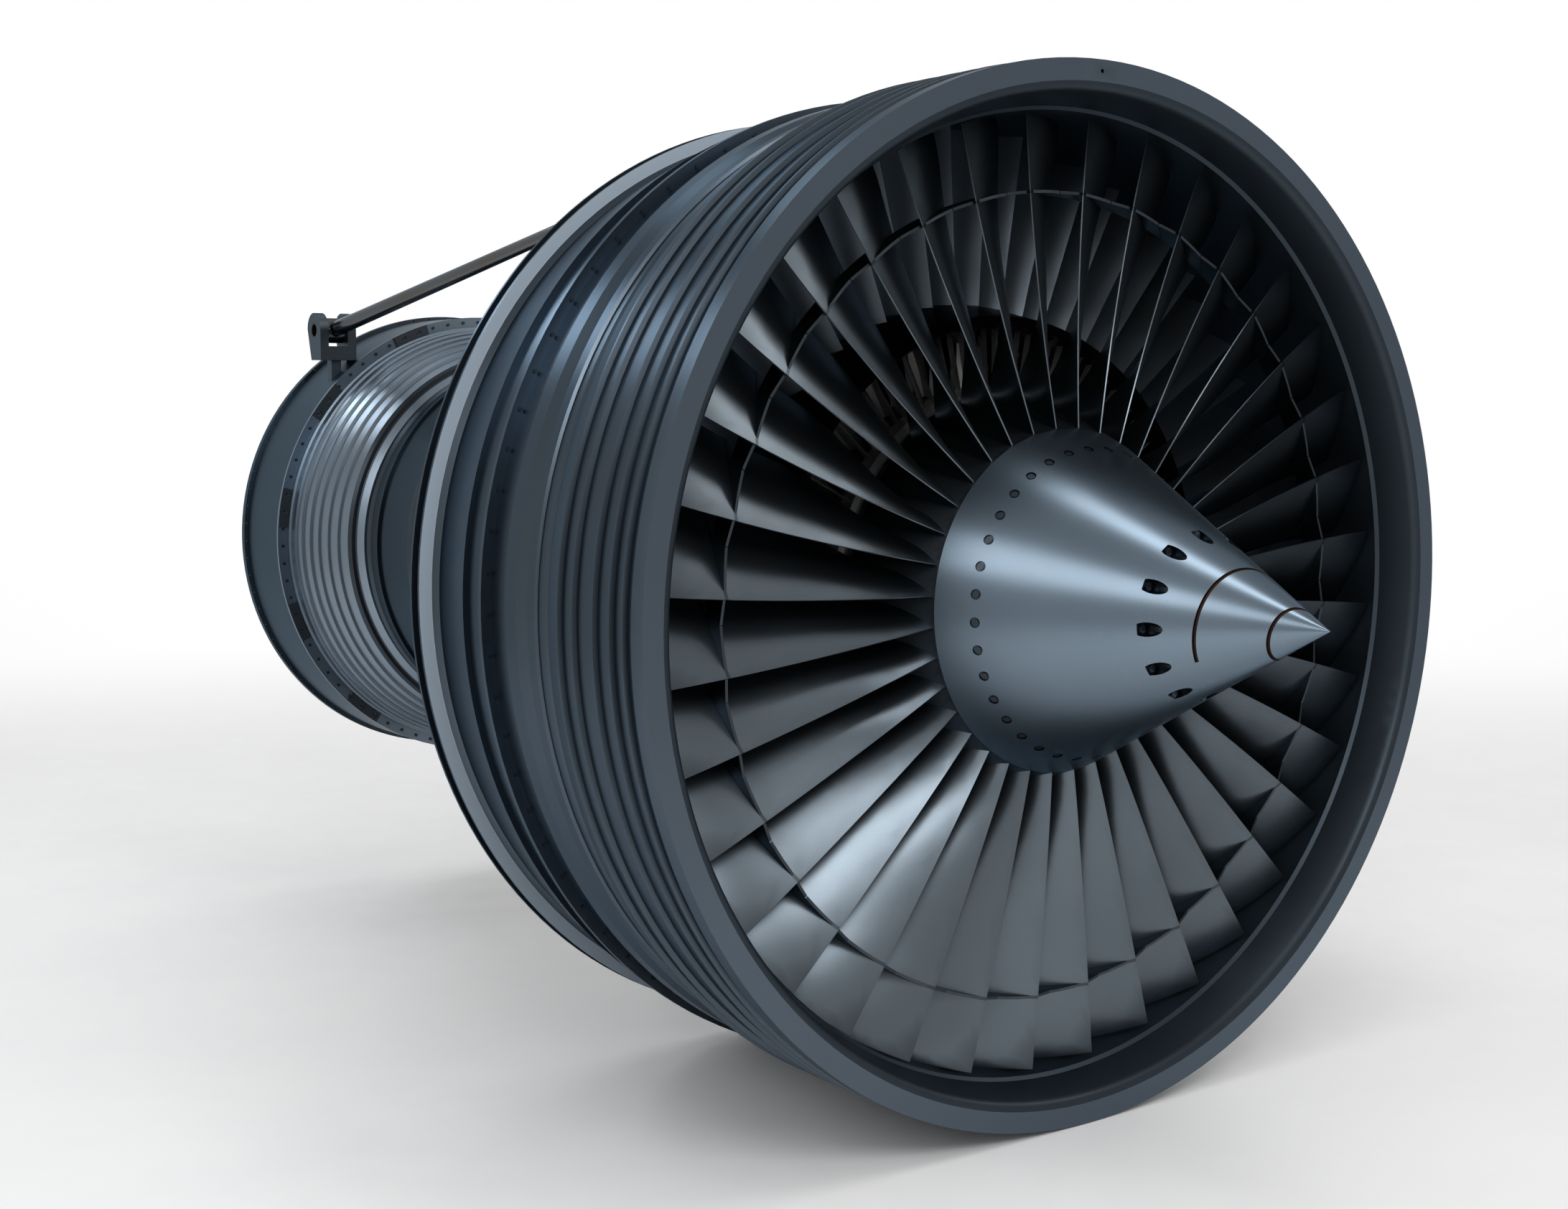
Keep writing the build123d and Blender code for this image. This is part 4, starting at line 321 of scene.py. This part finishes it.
node_materials = {
    spinner_metal: ["spinner_cone"],
    fan_titanium: ["fan_blades"],
    case_metal: ["fan_case"],
    frame_case_metal: ["fan_frame_case"],
    liner_metal: ["fan_case_liner", "bypass_inner_wall"],
    frame_metal: ["outlet_guide_vanes", "fan_frame_struts"],
    splitter_metal: ["splitter_ring", "booster_case"],
    inlet_vane_metal: ["core_inlet_vanes", "inlet_vane_inner_ring", "booster_vanes"],
    inner_casting: [
        "spinner_support", "fan_frame_hub", "fan_frame_core", "compressor_case", "compressor_vanes",
        "diffuser_frame", "rear_bearing_cover", "rear_frame_hub", "link_brackets",
    ],
    combustor_metal: ["combustor_case", "core_turbine_case"],
    heat_metal: ["combustor_liner", "core_nozzle_vanes", "lp_nozzle_vanes", "rear_frame_struts"],
    turbine_case_metal: ["lp_turbine_case"],
    rear_frame_metal: ["rear_frame_case"],
    pad_metal: ["flange_pads"],
    pipe_steel: ["fuel_manifold", "fuel_hoops", "fuel_nozzles"],
    link_steel: ["left_thrust_link", "right_thrust_link"],
    yoke_steel: ["left_mount_yoke", "right_mount_yoke"],
    bolt_steel: ["spinner_front_bolts", "spinner_rear_screws", "case_flange_bolts", "frame_flange_bolts"],
    rotor_steel: [
        "fan_disk", "booster_drum", "booster_blades", "low_pressure_shaft", "lp_turbine_drum",
        "lp_turbine_blades", "compressor_drum", "compressor_blades", "core_shaft", "core_turbine_drum",
        "core_turbine_blades",
    ],
    bearing_steel: [
        "lp_bearing_inner_rings", "core_bearing_inner_rings", "bearing_outer_rings", "bearing_rollers",
    ],
    pin_steel: ["mount_pins", "link_bracket_pins"],
}
for material, names in node_materials.items():
    for name in names:
        mesh = nodes[name].data
        if not mesh.materials:
            mesh.materials.append(material)
        for index in range(len(mesh.materials)):
            mesh.materials[index] = material


# Spinner cone with its pockets and screw recesses, finer than the solid it stands for
pocket_count = 12
pocket_first = 5.0
pocket_circle = 0.187
pocket_radius = 0.0165
pocket_floor = -0.325
screw_count = 36
screw_first = 3.15
screw_station = 0.017
recess_radius = 0.0125
recess_depth = 0.0045
recess_reach = 0.03
cone_wall = 0.009
cone_steps = 48
cone_sides = 360
tip_gap = 0.001
pocket_wall = 0.03
hollow_front = pocket_floor + pocket_wall
hollow_inset = 0.05
core_radius = 0.02
core_tip = 0.0001
pocket_reach = 0.2
cutter_sides = 48
normal_tolerance = 0.00003
sharp_angle = 35.0
half_angle = math.atan(spinner_slope)


def spinner_radius(station):
    """Radius of the cone's skin at a station."""
    return (station - spinner_tip) * spinner_slope


def lathe(work, corners, sides):
    """Closed ring of revolution through (station, radius) corners."""
    angles = [360.0 * side / sides for side in range(sides)]
    rings = [[work.verts.new(on_ring(*corner, angle)) for angle in angles] for corner in corners]
    for first, second in zip(rings, rings[1:] + rings[:1]):
        for side in range(sides):
            after = (side + 1) % sides
            work.faces.new((first[side], first[after], second[after], second[side]))


def cone_corners():
    """Outer skin from near the tip to the base, and back along the inside."""
    front = spinner_tip + tip_gap
    stations = [front + (spinner_rear - front) * step / cone_steps for step in range(cone_steps + 1)]
    skin = [(station, spinner_radius(station)) for station in stations]
    inside = [
        (spinner_rear, spinner_radius(spinner_rear) - cone_wall),
        (hollow_front, spinner_radius(pocket_floor) - hollow_inset),
        (hollow_front, core_radius),
        (front, core_tip),
    ]
    return skin + inside


def round_cutter(work, middle, axis, radius, back, front):
    """Short round bar from back to front along an axis through a point."""
    turn = axis.to_track_quat("Z", "Y")
    loops = []
    for reach in (back, front):
        loop = []
        for side in range(cutter_sides):
            angle = 2 * math.pi * side / cutter_sides
            rim = Vector((radius * math.cos(angle), radius * math.sin(angle), reach))
            loop.append(work.verts.new(middle + turn @ rim))
        loops.append(loop)
    first, last = loops
    for side in range(cutter_sides):
        after = (side + 1) % cutter_sides
        work.faces.new((first[side], first[after], last[after], last[side]))
    work.faces.new(first[::-1])
    work.faces.new(last)


def outward(angle):
    """Direction that stands on the cone's skin at an angle."""
    turn = math.radians(angle)
    side = math.cos(half_angle)
    return Vector((-side * math.sin(turn), -math.sin(half_angle), side * math.cos(turn)))


def spinner_cutters(work):
    """Bars that cut the bolts' pockets along the axis and the screws' recesses square to the skin."""
    forward = Vector((0.0, -1.0, 0.0))
    for index in range(pocket_count):
        middle = on_ring(pocket_floor, pocket_circle, pocket_first + 360.0 * index / pocket_count)
        round_cutter(work, middle, forward, pocket_radius, 0.0, pocket_reach)
    for index in range(screw_count):
        angle = screw_first + 360.0 * index / screw_count
        middle = on_ring(screw_station, spinner_radius(screw_station), angle)
        round_cutter(work, middle, outward(angle), recess_radius, -recess_depth, recess_reach)


def cut(piece, cutter):
    """Takes one object out of another and applies it."""
    step = piece.modifiers.new("cut", "BOOLEAN")
    step.operation = "DIFFERENCE"
    step.solver = "EXACT"
    step.object = cutter
    graph = bpy.context.evaluated_depsgraph_get()
    shaped = bpy.data.meshes.new_from_object(piece.evaluated_get(graph))
    piece.modifiers.clear()
    piece.data = shaped
    bpy.data.objects.remove(cutter)


def spinner_cone(work):
    """The cone before anything is cut into it."""
    lathe(work, cone_corners(), cone_sides)


spinner = new_piece("spinner_skin", spinner_cone, spinner_metal, "fan_spool")
cut(spinner, new_piece("spinner_cutters", spinner_cutters, spinner_metal, "fan_spool"))
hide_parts("spinner_cone")


def on_skin(point):
    """Whether a point lies on the cone's outer skin."""
    skin = spinner_radius(point.y + engine_length)
    return abs(math.hypot(point.x, point.z) - skin) < normal_tolerance


def cone_normals(mesh):
    """Exact normals on the cone's skin, and ordinary ones and painted shade, a darker metal, in what is cut
    into it.
    """
    mesh.materials.append(recess_shade_metal)
    mesh.set_sharp_from_angle(angle=math.radians(sharp_angle))
    normals = [Vector((0.0, 0.0, 0.0))] * len(mesh.loops)
    for face in mesh.polygons:
        face.use_smooth = True
        points = [mesh.vertices[index].co for index in face.vertices]
        if all(on_skin(point) for point in points):
            for loop, point in zip(face.loop_indices, points):
                normals[loop] = outward(math.degrees(math.atan2(-point.x, point.z)))
        else:
            face.material_index = 1
    mesh.normals_split_custom_set(normals)


cone_normals(spinner.data)

# Spiral line on the spinner: angles and the stations that it has there
spiral_turns = [(-60.0, -0.644), (0.0, -0.623), (180.0, -0.559), (360.0, -0.475), (487.0, -0.430)]
spiral_steps = 270
spiral_width = 0.008
line_depth = 0.0006
line_rise = 0.0003


def spiral_station(angle):
    """Station of the spiral line at an angle, by straight pieces between its turns."""
    for (first, front), (last, rear) in zip(spiral_turns, spiral_turns[1:]):
        if angle <= last:
            return front + (rear - front) * (angle - first) / (last - first)
    return spiral_turns[-1][1]


def spiral_line(work):
    """Thin strip let into the cone: four corners at each angle."""
    start = spiral_turns[0][0]
    end = spiral_turns[-1][0]
    loops = []
    for step in range(spiral_steps + 1):
        angle = start + (end - start) * step / spiral_steps
        corners = []
        for side, lift in ((-1, -line_depth), (1, -line_depth), (1, line_rise), (-1, line_rise)):
            station = spiral_station(angle) + side * spiral_width / 2
            corners.append(work.verts.new(on_ring(station, spinner_radius(station) + lift, angle)))
        loops.append(corners)
    for first, second in zip(loops, loops[1:]):
        for corner in range(4):
            after = (corner + 1) % 4
            work.faces.new((first[corner], second[corner], second[after], first[after]))
    work.faces.new(loops[0])
    work.faces.new(loops[-1][::-1])


new_piece("spinner_spiral_line", spiral_line, groove_dark, "fan_spool")

# Stage: pale floor, white backdrop behind the engine, pale room elsewhere
floor_drop = 0.0005
floor_size = 240.0
floor_steps = 12
floor_middle = (0.0, -2.2)
floor_colours = (0.80, 0.80, 0.80, 1.0), (0.775, 0.775, 0.78, 1.0)
floor_gloss = (0.40, 0.55)
patch_scale = 1.7
smear_scale = 9.0
grit_scale = 160.0
grit_depth = 0.0005
grit_strength = 0.1

# How far from the middle the floor fades into the room, and the room's light
fade_start = 3.2
fade_end = 10.0
room_light = 0.85
room_pale = 0.58
room_overhead = 0.45
horizon_end = 0.22
overhead_start = 0.65

# How nearly a direction points along the camera's view where the backdrop begins and is full
backdrop_edge = 0.30
backdrop_inner = 0.92
view_turn = math.radians(camera_turn)
backdrop_way = Vector((math.sin(view_turn), math.cos(view_turn), 0.0))


def seen_ray(n):
    """1 for rays from the camera or through gloss or glass, otherwise 0."""
    rays = n.tree.nodes.new("ShaderNodeLightPath").outputs
    seen = n.compute("MAXIMUM", rays["Is Camera Ray"], rays["Is Glossy Ray"])
    return n.compute("MAXIMUM", seen, rays["Is Transmission Ray"])


def horizon_level(n, direction):
    """White towards the backdrop and pale in the other directions."""
    along = n.vectors("DOT_PRODUCT", direction, backdrop_way).outputs["Value"]
    return n.spread(along, room_pale, 1.0, backdrop_edge, backdrop_inner, "SMOOTHSTEP")


def pale_floor():
    """Pale matt floor that fades into the backdrop and the room away from the engine."""
    n = Surface("studio_floor")
    patches = n.spread(n.noise(patch_scale, detail=4.0), 0.0, 1.0)
    n.set("Base Color", n.blend(patches, *floor_colours))
    n.set("Roughness", n.spread(n.noise(smear_scale), *floor_gloss))
    n.set("Normal", n.bump(n.noise(grit_scale), grit_strength, grit_depth))
    away = n.vectors("SUBTRACT", n.place, (*floor_middle, cad_low.z)).outputs["Vector"]
    distance = n.vectors("LENGTH", away).outputs["Value"]
    direction = n.vectors("NORMALIZE", away).outputs["Vector"]
    glow = n.tree.nodes.new("ShaderNodeEmission")
    n.join(n.between(seen_ray(n), room_light, horizon_level(n, direction)), glow.inputs["Strength"])
    fade = n.tree.nodes.new("ShaderNodeMixShader")
    n.join(n.spread(distance, 0.0, 1.0, fade_start, fade_end, "SMOOTHSTEP"), fade.inputs["Fac"])
    n.join(n.shader.outputs["BSDF"], fade.inputs[1])
    n.join(glow.outputs["Emission"], fade.inputs[2])
    n.join(fade.outputs["Shader"], n.tree.nodes["Material Output"].inputs["Surface"])
    return n.material


floor_data = bpy.data.meshes.new("studio_floor")
floor_work = bmesh.new()
bmesh.ops.create_grid(floor_work, x_segments=floor_steps, y_segments=floor_steps, size=floor_size / 2)
for vertex in floor_work.verts:
    vertex.co.z = cad_low.z - floor_drop
floor_work.to_mesh(floor_data)
floor_work.free()
floor = bpy.data.objects.new("studio_floor", floor_data)
bpy.context.scene.collection.objects.link(floor)
floor_data.materials.append(pale_floor())


# Lamps: place, aim, size, watts and colour

def lamp(name, place, aim, size, power, colour=(1.0, 1.0, 1.0)):
    """Soft rectangular lamp aimed at a point."""
    data = bpy.data.lights.new(name, "AREA")
    data.shape = "RECTANGLE"
    data.size, data.size_y = size
    data.energy = power
    data.color = colour
    lamp_object = bpy.data.objects.new(name, data)
    bpy.context.scene.collection.objects.link(lamp_object)
    lamp_object.location = place
    lamp_object.rotation_euler = (Vector(aim) - Vector(place)).to_track_quat("-Z", "Y").to_euler()


lamp("key_lamp", (-0.1, -4.3, 3.9), (-0.1, -3.7, 0.0), (0.9, 2.2), 26.0)
lamp("blade_lamp", (-2.3, -6.9, 2.6), (-0.5, -3.4, -0.4), (3.0, 1.6), 95.0)
lamp("rear_strip", (-1.9, 1.6, 3.0), (-0.5, -0.4, 0.5), (1.8, 0.8), 34.0, (0.93, 0.96, 1.0))
lamp("overhead_lamp", (-0.3, 0.2, 3.9), (-0.5, -2.4, 0.8), (1.4, 1.4), 12.0)
lamp("left_lamp", (-7.0, -4.5, 4.0), (0.0, -2.2, 0.0), (3.0, 3.0), 80.0)
lamp("right_lamp", (6.5, -5.0, 4.5), (0.0, -2.2, 0.0), (3.0, 3.0), 90.0, (1.0, 0.96, 0.92))

# The room's own light: the horizon's level low down, and greyer overhead
world = bpy.data.worlds.new("studio_room")
bpy.context.scene.world = world
world.use_nodes = True
room = Nodes(world.node_tree)
direction = room.tree.nodes.new("ShaderNodeTexCoord").outputs["Generated"]
up = room.spread(room.split(direction)["Z"], 0.0, 1.0, horizon_end, overhead_start, "SMOOTHSTEP")
shade = room.between(up, horizon_level(room, direction), room_overhead)
background = room.tree.nodes["Background"]
background.inputs["Color"].default_value = (1.0, 1.0, 1.0, 1.0)
room.join(room.between(seen_ray(room), room_light, shade), background.inputs["Strength"])

camera_data = bpy.data.cameras.new("camera")
camera_data.lens = camera_lens
camera_data.clip_end = camera_reach
camera = bpy.data.objects.new("camera", camera_data)
bpy.context.scene.collection.objects.link(camera)
camera.location = camera_place
camera.rotation_euler = (math.radians(90.0 - camera_dip), 0.0, math.radians(-camera_turn))
bpy.context.scene.camera = camera
bpy.context.scene.view_settings.view_transform = "Standard"
